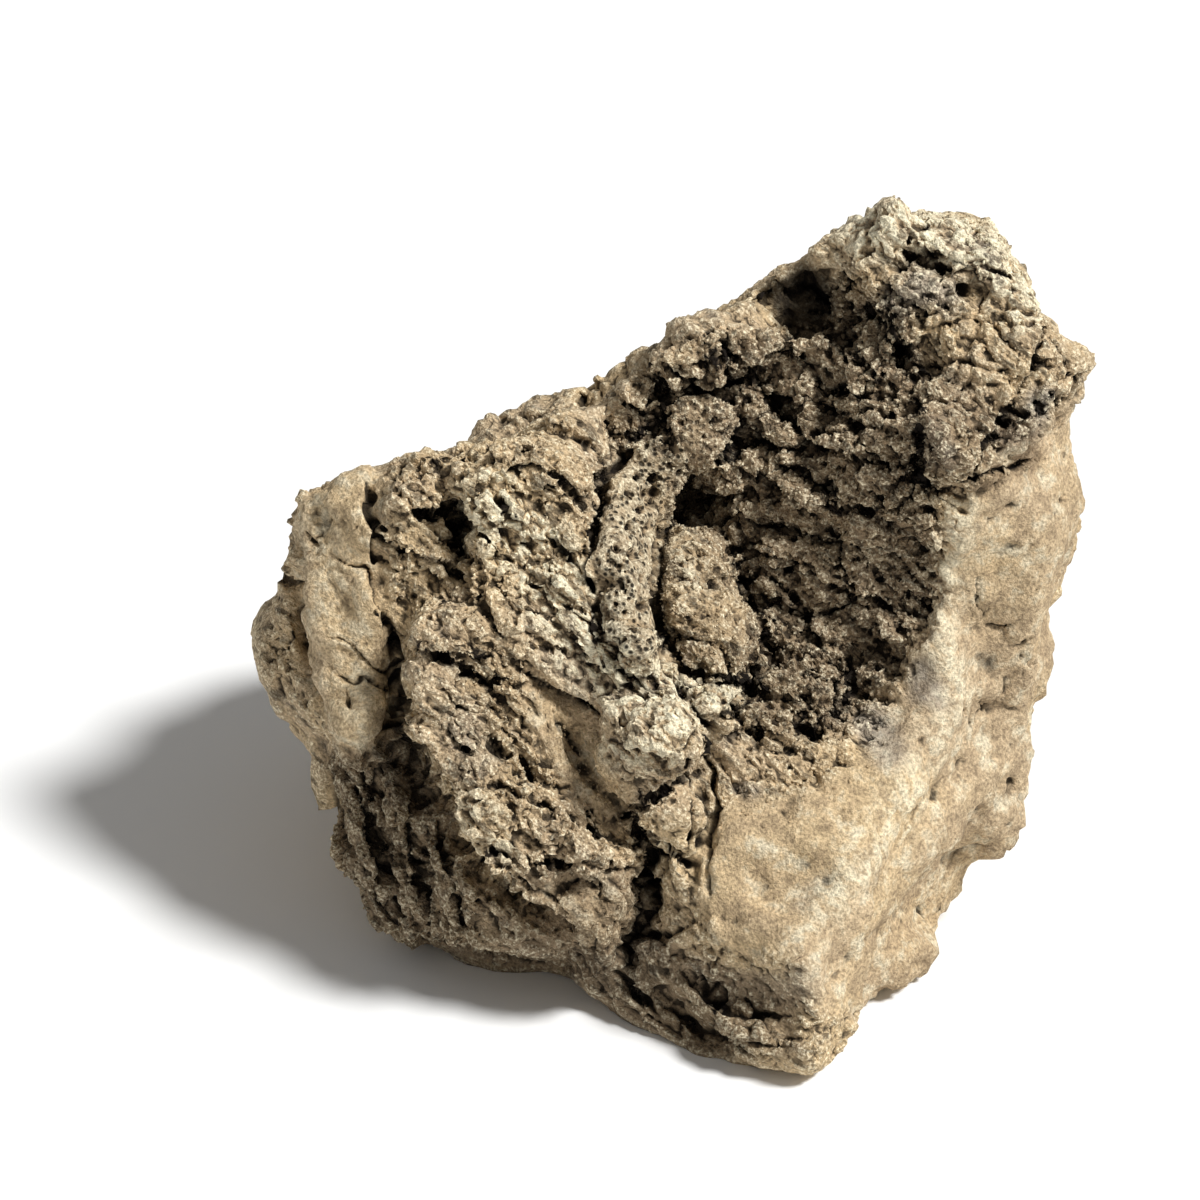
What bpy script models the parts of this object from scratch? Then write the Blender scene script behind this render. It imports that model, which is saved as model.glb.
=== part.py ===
"""A weathered lump of lava rock, modelled as the one solid that it is, in metres with +Z up.

The rock stands on a flat patch of its underside and turns a broken face forwards (-Y) and upwards.
Places on that face are given square to it: across to the right, up the slope, and out of it.
A ball of points is drawn onto the rock. Its front half becomes the relief of the broken face, inside
the rim. Its back half closes the rock behind the rim, along rays that stop at the fractures there.
"""

import math

import bmesh
import bpy
import numpy as np
from mathutils import Vector

# Driving dimensions
LEAN = math.radians(32.0)  # the broken face leans back this far from upright
FACE_CENTRE = Vector((0.0017, -0.0268, 0.088))  # where 0, 0, 0 of the face is in the row frame
HEART = np.array((0.000, -0.004, -0.038))  # the rays of the back start here: across, up, out
HALVINGS = 22  # how often the search along a ray is halved
REACH = 0.150  # no point of the back is further than this from the heart
FRONT_SWELL = 0.064  # how far the rock rises in front of its rim
BACK_SWELL = 0.086  # how far it reaches behind its rim
DEEPEST = 0.070  # the broken side never falls further than this behind its rim
RIM_JOIN = 0.004  # share of the way in over which the broken side leaves the rim
FRONT_POWER = 3.0  # how square the edge is round the broken side: 2 is a round edge
BACK_POWER = 2.3
EVENING = math.radians(16.0)  # notches narrower than this in the rim do not reach the back
NOTCH_DEPTH = 0.009  # how far behind the rim they run out
BALL_SUBDIVISIONS = 7
SKIN = 0.0013  # the carved rock is skinned over at this spacing before it is thinned
THIN_RATIO = 0.050  # share of the skin's faces that are kept
BURIED = 0.06  # the block that cuts the resting patch is this deep

ACROSS = Vector((1.0, 0.0, 0.0))
UP = Vector((0.0, math.sin(LEAN), math.cos(LEAN)))
OUT = Vector((0.0, -math.cos(LEAN), math.sin(LEAN)))
FACE_AXES = np.array([ACROSS, UP, OUT])

# The line that goes round the rock where the broken side turns into the back: across, up, out
RIM = [
    (-0.092, 0.031, -0.035), (-0.0895, 0.0355, -0.034), (-0.079, 0.0395, -0.032),
    (-0.071, 0.0395, -0.029), (-0.068, 0.043, -0.028), (-0.056, 0.044, -0.025),
    (-0.042, 0.0476, -0.022), (-0.031, 0.0515, -0.020), (-0.018, 0.0575, -0.020),
    (-0.012, 0.062, -0.020), (-0.0085, 0.0667, -0.020), (0.001, 0.0726, -0.020),
    (0.0045, 0.0775, -0.018), (0.014, 0.080, -0.018), (0.019, 0.0845, -0.016),
    (0.0295, 0.0905, -0.014), (0.0415, 0.1005, -0.010), (0.0486, 0.1012, -0.008),
    (0.0517, 0.1031, -0.008), (0.0545, 0.1015, -0.008), (0.071, 0.1017, -0.008),
    (0.0747, 0.099, -0.008), (0.0795, 0.093, -0.008), (0.0843, 0.0857, -0.008),
    (0.0867, 0.080, -0.008), (0.088, 0.0738, -0.008), (0.0914, 0.0714, -0.006),
    (0.1002, 0.068, -0.002), (0.0974, 0.063, -0.008), (0.0938, 0.0583, -0.014),
    (0.0943, 0.0524, -0.028), (0.095, 0.0464, -0.032), (0.0974, 0.0393, -0.034),
    (0.0993, 0.0333, -0.035), (0.0974, 0.025, -0.035), (0.095, 0.019, -0.034),
    (0.089, 0.007, -0.032), (0.0855, -0.012, -0.030), (0.0843, -0.0226, -0.030),
    (0.086, -0.0357, -0.034), (0.0843, -0.0452, -0.036), (0.076, -0.0536, -0.036),
    (0.071, -0.057, -0.036), (0.070, -0.062, -0.036), (0.064, -0.0762, -0.032),
    (0.058, -0.081, -0.030), (0.0462, -0.0881, -0.024), (0.0402, -0.0917, -0.018),
    (0.0385, -0.0976, -0.009), (0.0367, -0.1012, -0.003), (0.0331, -0.1031, -0.001),
    (0.0176, -0.1014, -0.003), (0.0057, -0.1012, -0.004), (-0.0014, -0.0976, -0.009),
    (-0.0086, -0.0917, -0.014), (-0.0181, -0.0857, -0.020), (-0.0205, -0.082, -0.022),
    (-0.0221, -0.0774, -0.024), (-0.0348, -0.075, -0.030), (-0.0443, -0.0726, -0.032),
    (-0.0502, -0.0738, -0.034), (-0.0586, -0.072, -0.035), (-0.0657, -0.0733, -0.036),
    (-0.0717, -0.0719, -0.037), (-0.0776, -0.062, -0.036), (-0.0776, -0.050, -0.036),
    (-0.0793, -0.0448, -0.036), (-0.0788, -0.0393, -0.036), (-0.0836, -0.031, -0.038),
    (-0.0836, -0.025, -0.038), (-0.0919, -0.0167, -0.040), (-0.0979, -0.0071, -0.040),
    (-0.1002, -0.0024, -0.040), (-0.0986, 0.0048, -0.040), (-0.0995, 0.0143, -0.038),
    (-0.0967, 0.0226, -0.037),
]

# The planes that the broken side was struck into. Each passes through a point of the face and
# falls away by its two slopes: across, up, out, slope across, slope up
FACE_PLANES = {
    "left half": (0.000, -0.030, 0.010, 0.34, 0.02),
    "smooth prow": (0.030, -0.045, 0.013, -0.12, -0.08),
    "right side": (0.064, 0.000, 0.004, -1.31, 0.37),
    "underside of the prow": (0.010, -0.075, 0.010, 0.24, 0.45),
    "left of the prow's foot": (-0.010, -0.080, -0.002, 0.85, 0.20),
    "lower left corner": (-0.050, -0.056, -0.022, 0.55, 0.30),
}
PLANE_BLEND = 0.004

# The hollow in the middle of the face was struck by three blows: these planes cut into the rest
HOLLOW_PLANES = {
    "right wall": (0.022, 0.022, -0.021, 0.56, 0.00),
    "left wall": (0.004, 0.020, -0.022, -0.60, 0.00),
    "top wall": (0.020, 0.050, -0.016, 0.10, 0.75),
    "bottom wall": (0.024, -0.006, -0.012, 0.05, -0.66),
}
HOLLOW_BLEND = 0.007

# Lobes that stand over their surroundings: the outline (across, up), then the top as a plane,
# and how steeply the sides fall away outside the outline
LOBES = {
    "shoulder": (
        [
            (-0.089, 0.033), (-0.080, 0.038), (-0.073, 0.039), (-0.072, 0.015), (-0.069, 0.004),
            (-0.068, -0.014), (-0.071, -0.026), (-0.076, -0.030), (-0.084, -0.018),
            (-0.089, -0.004), (-0.090, 0.015),
        ],
        (-0.070, 0.010, -0.006, 0.42, 0.00), 3.0,
    ),
    "upper left face": (
        [
            (-0.069, 0.042), (-0.048, 0.045), (-0.047, 0.022), (-0.051, 0.008), (-0.060, 0.000),
            (-0.066, 0.004), (-0.070, 0.020),
        ],
        (-0.060, 0.022, -0.003, 0.10, -0.06), 1.6,
    ),
    "long ridge": (
        [
            (-0.047, 0.037), (-0.034, 0.046), (-0.023, 0.042), (-0.019, 0.022), (-0.017, 0.006),
            (-0.004, -0.008), (0.004, -0.019), (0.002, -0.024), (-0.009, -0.023),
            (-0.022, -0.012), (-0.033, -0.007), (-0.042, 0.000), (-0.047, 0.009),
            (-0.047, 0.022),
        ],
        (-0.030, 0.008, 0.010, 0.02, -0.03), 2.0,
    ),
    "end of the long ridge": (
        [
            (-0.017, -0.019), (-0.008, -0.016), (0.004, -0.020), (0.003, -0.030),
            (-0.009, -0.038), (-0.017, -0.033),
        ],
        (-0.006, -0.026, 0.015, 0.08, 0.12), 1.8,
    ),
    "lower ridge": (
        [
            (-0.057, 0.007), (-0.048, 0.007), (-0.042, -0.004), (-0.032, -0.013),
            (-0.026, -0.026), (-0.019, -0.037), (-0.011, -0.044), (-0.009, -0.053),
            (-0.009, -0.066), (-0.017, -0.073), (-0.030, -0.065), (-0.041, -0.056),
            (-0.048, -0.046), (-0.049, -0.038), (-0.055, -0.031), (-0.062, -0.023),
            (-0.059, -0.014), (-0.060, -0.007),
        ],
        (-0.045, -0.030, 0.009, -0.10, -0.06), 2.2,
    ),
    "floor of the valley": (
        [
            (-0.033, -0.010), (-0.022, -0.014), (-0.017, -0.020), (-0.018, -0.034),
            (-0.011, -0.041), (-0.022, -0.038), (-0.029, -0.024),
        ],
        (-0.022, -0.026, 0.007, -0.25, 0.10), 1.2,
    ),
    "lump of the lower ridge": (
        [
            (-0.052, -0.037), (-0.040, -0.034), (-0.026, -0.044), (-0.020, -0.053),
            (-0.036, -0.056), (-0.048, -0.048),
        ],
        (-0.036, -0.045, 0.010, 0.00, -0.12), 1.2,
    ),
    "wedge by the crack": (
        [(-0.010, -0.041), (0.002, -0.034), (0.005, -0.040), (0.002, -0.050)],
        (-0.002, -0.041, 0.013, 0.05, -0.10), 2.0,
    ),
    "knob": (
        [
            (0.050, 0.099), (0.054, 0.084), (0.058, 0.072), (0.062, 0.062), (0.064, 0.052),
            (0.069, 0.046), (0.080, 0.047), (0.086, 0.054), (0.090, 0.062), (0.095, 0.067),
            (0.088, 0.071), (0.078, 0.092), (0.062, 0.099),
        ],
        (0.065, 0.065, 0.021, -0.10, -0.30), 1.0,
    ),
    "brow of the knob": (
        [
            (0.058, 0.058), (0.059, 0.043), (0.066, 0.039), (0.075, 0.040), (0.084, 0.044),
            (0.086, 0.052), (0.078, 0.060), (0.066, 0.066),
        ],
        (0.070, 0.052, 0.020, -0.15, 0.10), 2.6,
    ),
    "ledge over the hollow": (
        [
            (-0.008, 0.063), (0.004, 0.071), (0.020, 0.074), (0.026, 0.071), (0.016, 0.066),
            (0.002, 0.061),
        ],
        (0.008, 0.068, 0.001, 0.00, 0.10), 1.8,
    ),
    "tan ledge at the foot": (
        [(-0.050, -0.058), (-0.036, -0.066), (-0.026, -0.074), (-0.040, -0.073), (-0.050, -0.070)],
        (-0.042, -0.066, -0.019, 0.10, 0.15), 1.6,
    ),
}
LOBE_BLEND = 0.0035

# The hollow and the flank of the knob are covered in rubble inside this outline: across, up
RUBBLE = [
    (-0.006, 0.060), (0.004, 0.069), (0.024, 0.072), (0.040, 0.082), (0.055, 0.080),
    (0.057, 0.060), (0.060, 0.038), (0.061, 0.012), (0.051, -0.010), (0.038, -0.021),
    (0.022, -0.023), (0.019, -0.008), (0.022, 0.004), (0.015, 0.020), (0.020, 0.034),
    (0.018, 0.048), (0.002, 0.061),
]
RUBBLE_FADE = 0.005

# The prow and the right side were struck smooth inside this outline: across, up
STRUCK_SMOOTH = [
    (0.072, 0.038), (0.095, 0.055), (0.110, 0.040), (0.095, -0.040), (0.060, -0.090),
    (0.034, -0.084), (0.030, -0.074), (0.010, -0.070), (0.000, -0.052), (0.012, -0.030),
    (0.034, -0.026), (0.056, -0.012), (0.066, 0.012),
]
CLOD_SIZE = 0.0088  # how wide a clod is, and how far it stands over the gaps round it
CLOD_HEIGHT = 0.0038
CLOD_EDGE = 0.6  # share of a clod's width over which it rounds down into its gap
CLOD_MEAN = 0.6

# How the sides of a stroke or a dome fall away at its half width: a full top, then steep sides
FALLOFF = 0.9
FALLOFF_POWER = 3.0

# Ridges (height over 0) and gullies (height under 0) as strokes: half width, then
# the points of the line, each across, up, height
STROKES = {
    "recess under the lower ridge": (0.0070, [
        (-0.064, 0.006, -0.003), (-0.066, -0.010, -0.007), (-0.067, -0.024, -0.010),
        (-0.062, -0.036, -0.010), (-0.055, -0.046, -0.006),
    ]),
    "gap over the tan ledge": (0.0040, [
        (-0.052, -0.050, -0.007), (-0.044, -0.059, -0.007), (-0.034, -0.066, -0.007),
        (-0.024, -0.075, -0.006),
    ]),
    "notch by the long ridge": (0.0038, [
        (-0.055, 0.032, -0.004), (-0.052, 0.027, -0.009), (-0.050, 0.019, -0.006),
    ]),
    "valley between the ridges": (0.0055, [
        (-0.036, -0.010, -0.001), (-0.027, -0.020, -0.002), (-0.020, -0.031, -0.003),
        (-0.014, -0.040, -0.003), (-0.009, -0.047, -0.003),
    ]),
    "edge crevice": (0.0030, [
        (-0.0930, 0.026, -0.008), (-0.0925, 0.006, -0.012), (-0.090, -0.010, -0.012),
        (-0.080, -0.030, -0.008),
    ]),
    "outer strip": (0.0025, [
        (-0.0960, 0.018, 0.004), (-0.0965, 0.000, 0.005), (-0.091, -0.014, 0.004),
    ]),
    "rib": (0.0070, [
        (-0.004, 0.043, 0.006), (-0.009, 0.035, 0.009), (-0.0115, 0.027, 0.010),
        (-0.013, 0.018, 0.010), (-0.012, 0.009, 0.009), (-0.009, 0.001, 0.006),
    ]),
    "crest of the boulder": (0.0045, [
        (0.001, 0.022, 0.001), (0.004, 0.013, 0.004), (0.011, 0.004, 0.004),
        (0.015, -0.004, 0.001),
    ]),
    "hook of the rib": (0.0045, [
        (-0.004, 0.043, 0.005), (0.002, 0.0435, 0.008), (0.009, 0.042, 0.008),
    ]),
    "gap between rib and boulder": (0.0030, [
        (-0.002, 0.026, -0.003), (-0.005, 0.014, -0.004), (-0.003, 0.003, -0.005),
        (0.001, -0.006, -0.004),
    ]),
    "gap left of the rib": (0.0030, [
        (-0.010, 0.050, -0.005), (-0.018, 0.038, -0.007), (-0.0205, 0.024, -0.008),
        (-0.0195, 0.010, -0.007), (-0.014, -0.002, -0.005),
    ]),
    "gap under the boulder": (0.0028, [
        (0.003, -0.0075, -0.003), (0.011, -0.0100, -0.004), (0.020, -0.006, -0.003),
    ]),
    "long crack": (0.0030, [
        (0.006, -0.022, -0.004), (0.0085, -0.032, -0.005), (0.0095, -0.040, -0.006),
        (0.008, -0.050, -0.004),
    ]),
    "gap beside the prow": (0.0040, [
        (-0.004, -0.049, -0.006), (-0.006, -0.056, -0.009), (-0.006, -0.067, -0.012),
        (-0.012, -0.077, -0.010), (-0.018, -0.082, -0.006),
    ]),
    "hollow on the prow": (0.0060, [
        (0.014, -0.055, -0.003), (0.026, -0.056, -0.004), (0.034, -0.058, -0.002),
    ]),
    "brow of the prow": (0.0060, [
        (0.000, -0.070, 0.002), (0.010, -0.074, 0.003), (0.022, -0.073, 0.003),
        (0.030, -0.078, 0.002),
    ]),
    "upper groove of the foot": (0.0026, [
        (0.004, -0.082, -0.002), (0.014, -0.087, -0.003), (0.026, -0.085, -0.002),
    ]),
    "lower groove of the foot": (0.0030, [
        (-0.004, -0.088, -0.004), (0.008, -0.095, -0.005), (0.020, -0.098, -0.004),
    ]),
    "middle ledge of the foot": (0.0030, [
        (-0.002, -0.086, 0.003), (0.012, -0.091, 0.004), (0.026, -0.093, 0.003),
    ]),
    "face at the right foot": (0.0085, [
        (0.084, -0.040, -0.003), (0.074, -0.050, -0.010), (0.061, -0.066, -0.013),
        (0.052, -0.080, -0.010), (0.047, -0.090, -0.004),
    ]),
    "edge of the right side": (0.0045, [
        (0.077, -0.031, 0.003), (0.067, -0.043, 0.004), (0.055, -0.058, 0.004),
        (0.045, -0.069, 0.004), (0.042, -0.084, 0.002),
    ]),
    "upper fold in the hollow": (0.0030, [
        (0.022, 0.061, 0.004), (0.031, 0.058, 0.005), (0.040, 0.053, 0.003),
    ]),
    "lower fold in the hollow": (0.0030, [
        (0.022, 0.051, 0.003), (0.031, 0.048, 0.005), (0.040, 0.046, 0.003),
    ]),
    "undercut of the top wall": (0.0035, [
        (-0.010, 0.058, -0.005), (0.004, 0.060, -0.006), (0.014, 0.062, -0.006),
        (0.024, 0.067, -0.003),
    ]),
    "dark pocket beside the knob": (0.0065, [
        (0.024, 0.084, -0.006), (0.030, 0.082, -0.010), (0.036, 0.078, -0.007),
    ]),
    "split through the knob": (0.0020, [
        (0.087, 0.072, -0.002), (0.084, 0.063, -0.004), (0.081, 0.056, -0.004),
        (0.074, 0.048, -0.003), (0.070, 0.040, -0.002),
    ]),
    "corner strata, outer": (0.0026, [
        (-0.075, -0.034, -0.005), (-0.072, -0.050, -0.006), (-0.068, -0.068, -0.005),
    ]),
    "corner strata, inner": (0.0026, [
        (-0.064, -0.042, -0.006), (-0.062, -0.056, -0.007), (-0.058, -0.070, -0.005),
    ]),
}

# Lumps (height over 0) and pits (height under 0): across, up, half width, height
DOMES = {
    "round lump": (0.0065, 0.0510, 0.0085, 0.013),
    "clod beside the cave": (0.0140, 0.0390, 0.0062, 0.009),
    "boulder, top": (0.0045, 0.0160, 0.0088, 0.011),
    "boulder, foot": (0.0110, 0.0020, 0.0098, 0.010),
    "boulder, back": (0.0080, 0.0090, 0.0085, 0.003),
    "small lump": (0.0095, -0.0135, 0.0048, 0.005),
    "cave": (0.0050, 0.0325, 0.0050, -0.014),
    "cave, lower end": (0.0010, 0.0265, 0.0035, -0.008),
    "cave, right end": (0.0120, 0.0320, 0.0040, -0.006),
    "block at the top": (-0.0050, 0.0540, 0.0045, 0.005),
    "pit on the knob": (0.0560, 0.0910, 0.0035, -0.005),
    "pit on the knob, right end": (0.0610, 0.0885, 0.0030, -0.004),
    "small pit on the knob": (0.0690, 0.0820, 0.0030, -0.004),
    "lump at the knob's top": (0.0530, 0.0970, 0.0050, 0.004),
    "lump right of the pits": (0.0720, 0.0900, 0.0070, 0.004),
    "middle of the knob": (0.0620, 0.0770, 0.0065, 0.004),
    "right of the middle": (0.0760, 0.0690, 0.0080, 0.003),
    "left flank of the knob": (0.0490, 0.0760, 0.0060, 0.005),
    "rough lump on the flank": (0.0440, 0.0660, 0.0055, 0.004),
    "grey lump of the knob": (0.0620, 0.0480, 0.0065, 0.004),
    "lump over the split": (0.0890, 0.0600, 0.0050, 0.003),
    "cheek of the shoulder": (-0.0730, -0.0170, 0.0065, 0.005),
    "crown of the shoulder": (-0.0780, 0.0080, 0.0110, 0.004),
    "left brow": (-0.0660, 0.0370, 0.0050, 0.004),
    "second brow": (-0.0300, 0.0450, 0.0060, 0.005),
    "tip of the lower ridge": (-0.0600, -0.0220, 0.0045, 0.003),
    "block of the lower ridge": (-0.0520, 0.0020, 0.0060, 0.004),
    "second block": (-0.0560, -0.0100, 0.0060, 0.004),
    "lump at the right foot": (0.0800, -0.0430, 0.0080, 0.006),
    "block under the prow": (-0.0120, -0.0800, 0.0055, 0.005),
}

# The fractures round the back, in the row frame: azimuth from +X and elevation of the way each
# faces, in degrees, and its distance from the heart. None of them cuts the rim.
BACK_FRACTURES = {
    "high back": (96.0, 52.0, 0.074),
    "middle of the back": (84.0, 10.0, 0.070),
    "low back": (92.0, -32.0, 0.084),
    "left back": (146.0, 12.0, 0.074),
    "right back": (34.0, 6.0, 0.078),
    "left end": (182.0, -12.0, 0.090),
    "low left": (205.0, -42.0, 0.080),
    "low right": (-22.0, -44.0, 0.082),
    "right end": (8.0, 24.0, 0.094),
    "top left": (138.0, 56.0, 0.062),
    "right shoulder": (58.0, 36.0, 0.080),
}
FRACTURE_BLEND = 0.005

# Roughness. Outlines of the relief wander by the ragged amounts.
RAGGED_SIZES = (0.022, 0.010)
RAGGED_REACH = (0.0030, 0.0016)
CHIP_SIZES = (0.036, 0.019, 0.010)  # every surface is chipped into shallow scallops of these sizes
CHIP_HEIGHTS = (0.0095, 0.0062, 0.0030)
CHIP_MEAN = 0.45
CHIP_STEP = 0.35  # how unevenly the scallops lie
SWELL_SIZE = 0.045
SWELL_HEIGHT = 0.0030
GRAIN_TURN = math.radians(-45.0)  # the flow grain of the ridges runs down to the right
GRAIN_STRETCH = 1.5
STRUCK_SHARE = 0.45  # chips on the prow and the right side are this much of the usual
RIM_FADE = 0.03  # the chips die away over this share of the way in from the rim
BACK_FADE = math.radians(4.0)

ROCK_COLOUR = (0.52, 0.42, 0.28, 1.0)


def to_row(places):
    """Points of the row frame from their across, up and out."""
    return places @ FACE_AXES + np.array(FACE_CENTRE)


def soft_max(a, b, blend):
    """The larger of two fields, rounded over where they cross."""
    near = np.clip(blend - np.abs(a - b), 0.0, None) / blend
    return np.maximum(a, b) + near * near * blend / 4.0


def soft_min(a, b, blend):
    """The smaller of two fields, rounded over where they cross."""
    return -soft_max(-a, -b, blend)


def plane_height(across, up, plane):
    """How far out a plane of the face lies at each place."""
    at_across, at_up, at_out, slope_across, slope_up = plane
    return at_out + slope_across * (across - at_across) + slope_up * (up - at_up)


def nearest_on_line(across, up, start, end):
    """How far each place is from a straight run, and how far along the run the nearest point is."""
    run_across, run_up = end[0] - start[0], end[1] - start[1]
    along = ((across - start[0]) * run_across + (up - start[1]) * run_up)
    along = np.clip(along / (run_across**2 + run_up**2), 0.0, 1.0)
    away = np.hypot(across - start[0] - along * run_across, up - start[1] - along * run_up)
    return away, along


def outside_outline(across, up, outline):
    """How far each place lies outside a closed outline, and 0 inside it."""
    nearest = np.full(across.shape, np.inf)
    inside = np.zeros(across.shape, bool)
    for start, end in zip(outline, outline[1:] + outline[:1]):
        nearest = np.minimum(nearest, nearest_on_line(across, up, start, end)[0])
        crosses = (start[1] > up) != (end[1] > up)
        rise = end[1] - start[1] if end[1] != start[1] else 1.0
        at = start[0] + (up - start[1]) * (end[0] - start[0]) / rise
        inside ^= crosses & (across < at)
    return np.where(inside, 0.0, nearest)


def stroke_height(across, up, half_width, line):
    """The relief of one ridge or gully: its height on the line, falling off to nothing beside it."""
    nearest = np.full(across.shape, np.inf)
    height = np.zeros(across.shape)
    for start, end in zip(line, line[1:]):
        away, along = nearest_on_line(across, up, start, end)
        height = np.where(away < nearest, start[2] + along * (end[2] - start[2]), height)
        nearest = np.minimum(nearest, away)
    return height * np.exp(-FALLOFF * (nearest / half_width) ** FALLOFF_POWER)


def dome_height(across, up, dome):
    """The relief of one lump or pit, round with a full top."""
    at_across, at_up, half_width, height = dome
    away = np.hypot(across - at_across, up - at_up) / half_width
    return height * np.exp(-FALLOFF * away**FALLOFF_POWER)


def face_height(across, up):
    """How far out the broken side lies at each place across and up."""
    planes = list(FACE_PLANES.values())
    out = plane_height(across, up, planes[0])
    for plane in planes[1:]:
        out = soft_min(out, plane_height(across, up, plane), PLANE_BLEND)
    walls = list(HOLLOW_PLANES.values())
    hollow = plane_height(across, up, walls[0])
    for wall in walls[1:]:
        hollow = soft_max(hollow, plane_height(across, up, wall), HOLLOW_BLEND)
    out = soft_min(out, hollow, HOLLOW_BLEND)
    for outline, top, steepness in LOBES.values():
        lobe = plane_height(across, up, top) - steepness * outside_outline(across, up, outline)
        out = soft_max(out, lobe, LOBE_BLEND)
    in_rubble = np.clip(1.0 - outside_outline(across, up, RUBBLE) / RUBBLE_FADE, 0.0, 1.0)
    out = out + in_rubble * CLOD_HEIGHT * (clods(across, up) - CLOD_MEAN)
    for half_width, line in STROKES.values():
        out = out + stroke_height(across, up, half_width, line)
    for dome in DOMES.values():
        out = out + dome_height(across, up, dome)
    return out


def rim_of(angle):
    """Radius and depth of the rim, at each angle round the middle of the face."""
    rim = np.array(RIM)
    angles = np.arctan2(rim[:, 1], rim[:, 0])
    radius = np.interp(angle, angles, np.hypot(rim[:, 0], rim[:, 1]), period=2 * math.pi)
    depth = np.interp(angle, angles, rim[:, 2], period=2 * math.pi)
    return radius, depth


def evened_radius(angle):
    """Radius of the rim with its notches evened out, which is what the back follows."""
    steps = np.linspace(-EVENING, EVENING, 15)
    weights = np.cos(steps / EVENING * math.pi / 2) ** 2
    radii = np.array([rim_of(angle + step)[0] for step in steps])
    return (radii * weights[:, None]).sum(axis=0) / weights.sum()


def front_places(angle, share):
    """Places of the broken side, at an angle round it and a share of the way out to its rim."""
    radius, depth = rim_of(angle)
    across, up = share * radius * np.cos(angle), share * radius * np.sin(angle)
    read_across, read_up = wander(across, up)
    edge = depth + FRONT_SWELL * (1.0 - share**FRONT_POWER) ** (1 / FRONT_POWER)
    out = soft_min(face_height(read_across, read_up), edge, PLANE_BLEND)
    inward = np.clip((1.0 - share) / RIM_FADE, 0.0, 1.0)
    out += inward * roughness(np.column_stack((read_across, read_up, out)))
    out = np.maximum(out, depth - (1.0 - share) * DEEPEST)
    at_rim = np.clip((1.0 - share) / RIM_JOIN, 0.0, 1.0)
    return np.column_stack((across, up, depth + (out - depth) * at_rim))


def fractures_behind_rim():
    """The way each fracture of the back faces, and its distance from the heart, clear of the rim."""
    rim = np.array(RIM) - HEART
    made = []
    for azimuth, elevation, distance in BACK_FRACTURES.values():
        a, e = math.radians(azimuth), math.radians(elevation)
        facing = np.array((math.cos(a) * math.cos(e), math.sin(a) * math.cos(e), math.sin(e)))
        facing = FACE_AXES @ facing
        made.append((facing, max(distance, (rim @ facing).max() + FRACTURE_BLEND)))
    return made


def outside_back(places, fractures):
    """Over 0 outside the back of the rock and under 0 inside it."""
    across, up, out = places.T
    radius, depth = rim_of(np.arctan2(up, across))
    share = np.clip(np.hypot(across, up) / radius, 0.0, 1.0)
    behind = np.clip((depth - out) / NOTCH_DEPTH, 0.0, 1.0)
    radius = radius + (evened_radius(np.arctan2(up, across)) - radius) * behind
    depth = HEART[2] + (depth - HEART[2]) * share**2
    bulge = np.clip(1.0 - (np.abs(out - depth) / BACK_SWELL) ** BACK_POWER, 0.0, None)
    field = np.hypot(across, up) - radius * bulge ** (1 / BACK_POWER)
    for facing, distance in fractures:
        field = soft_max(field, (places - HEART) @ facing - distance, FRACTURE_BLEND)
    return field


def back_places(angle, drop):
    """Places of the back, along rays that leave the rim at an angle and drop away behind it."""
    radius, depth = rim_of(angle)
    rim = np.column_stack((radius * np.cos(angle), radius * np.sin(angle), depth))
    level = rim - HEART
    rays = level / np.linalg.norm(level, axis=1)[:, None] * np.cos(drop)[:, None]
    rays = rays - np.outer(np.sin(drop), (0.0, 0.0, 1.0))
    fractures = fractures_behind_rim()
    low = np.zeros(len(angle))
    high = np.full(len(angle), REACH)
    for _ in range(HALVINGS):
        middle = (low + high) / 2
        is_out = outside_back(HEART + rays * middle[:, None], fractures) > 0
        high = np.where(is_out, middle, high)
        low = np.where(is_out, low, middle)
    reach = high + roughness(HEART + rays * high[:, None])
    inward = np.clip(drop / BACK_FADE, 0.0, 1.0)[:, None]
    return rim + (HEART + rays * reach[:, None] - rim) * inward


def rock_places(ball):
    """Places on the rock for the points of a ball whose +Z half is the broken side."""
    angle = np.arctan2(ball[:, 1], ball[:, 0])
    z = np.clip(ball[:, 2], -1.0, 1.0)
    front = front_places(angle, np.sqrt(np.clip(1.0 - z, 0.0, 1.0)))
    back = back_places(angle, np.arcsin(np.clip(-z, 0.0, 1.0)))
    return np.where((z > 0.0)[:, None], front, back)


def lattice_value(cells, salt):
    """A fixed scatter of values from 0 to 1 over a lattice of whole-number cells."""
    mixed = cells[:, 0] * 374761393 + cells[:, 1] * 668265263 + cells[:, 2] * 974634777
    mixed = (mixed + salt * 362437) & 0xFFFFFFFF
    mixed = ((mixed ^ (mixed >> 13)) * 1274126177) & 0xFFFFFFFF
    return ((mixed ^ (mixed >> 16)) & 0xFFFF) / 0xFFFF


def swell(places, size, salt):
    """Smooth random swells of about one size, from -1 to 1."""
    scaled = places / size
    cells = np.floor(scaled).astype(np.int64)
    part = scaled - cells
    part = part * part * (3.0 - 2.0 * part)
    total = np.zeros(len(places))
    for corner in np.ndindex(2, 2, 2):
        weight = np.prod(np.where(np.array(corner) == 1, part, 1.0 - part), axis=1)
        total += weight * lattice_value(cells + corner, salt)
    return total * 2.0 - 1.0


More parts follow.
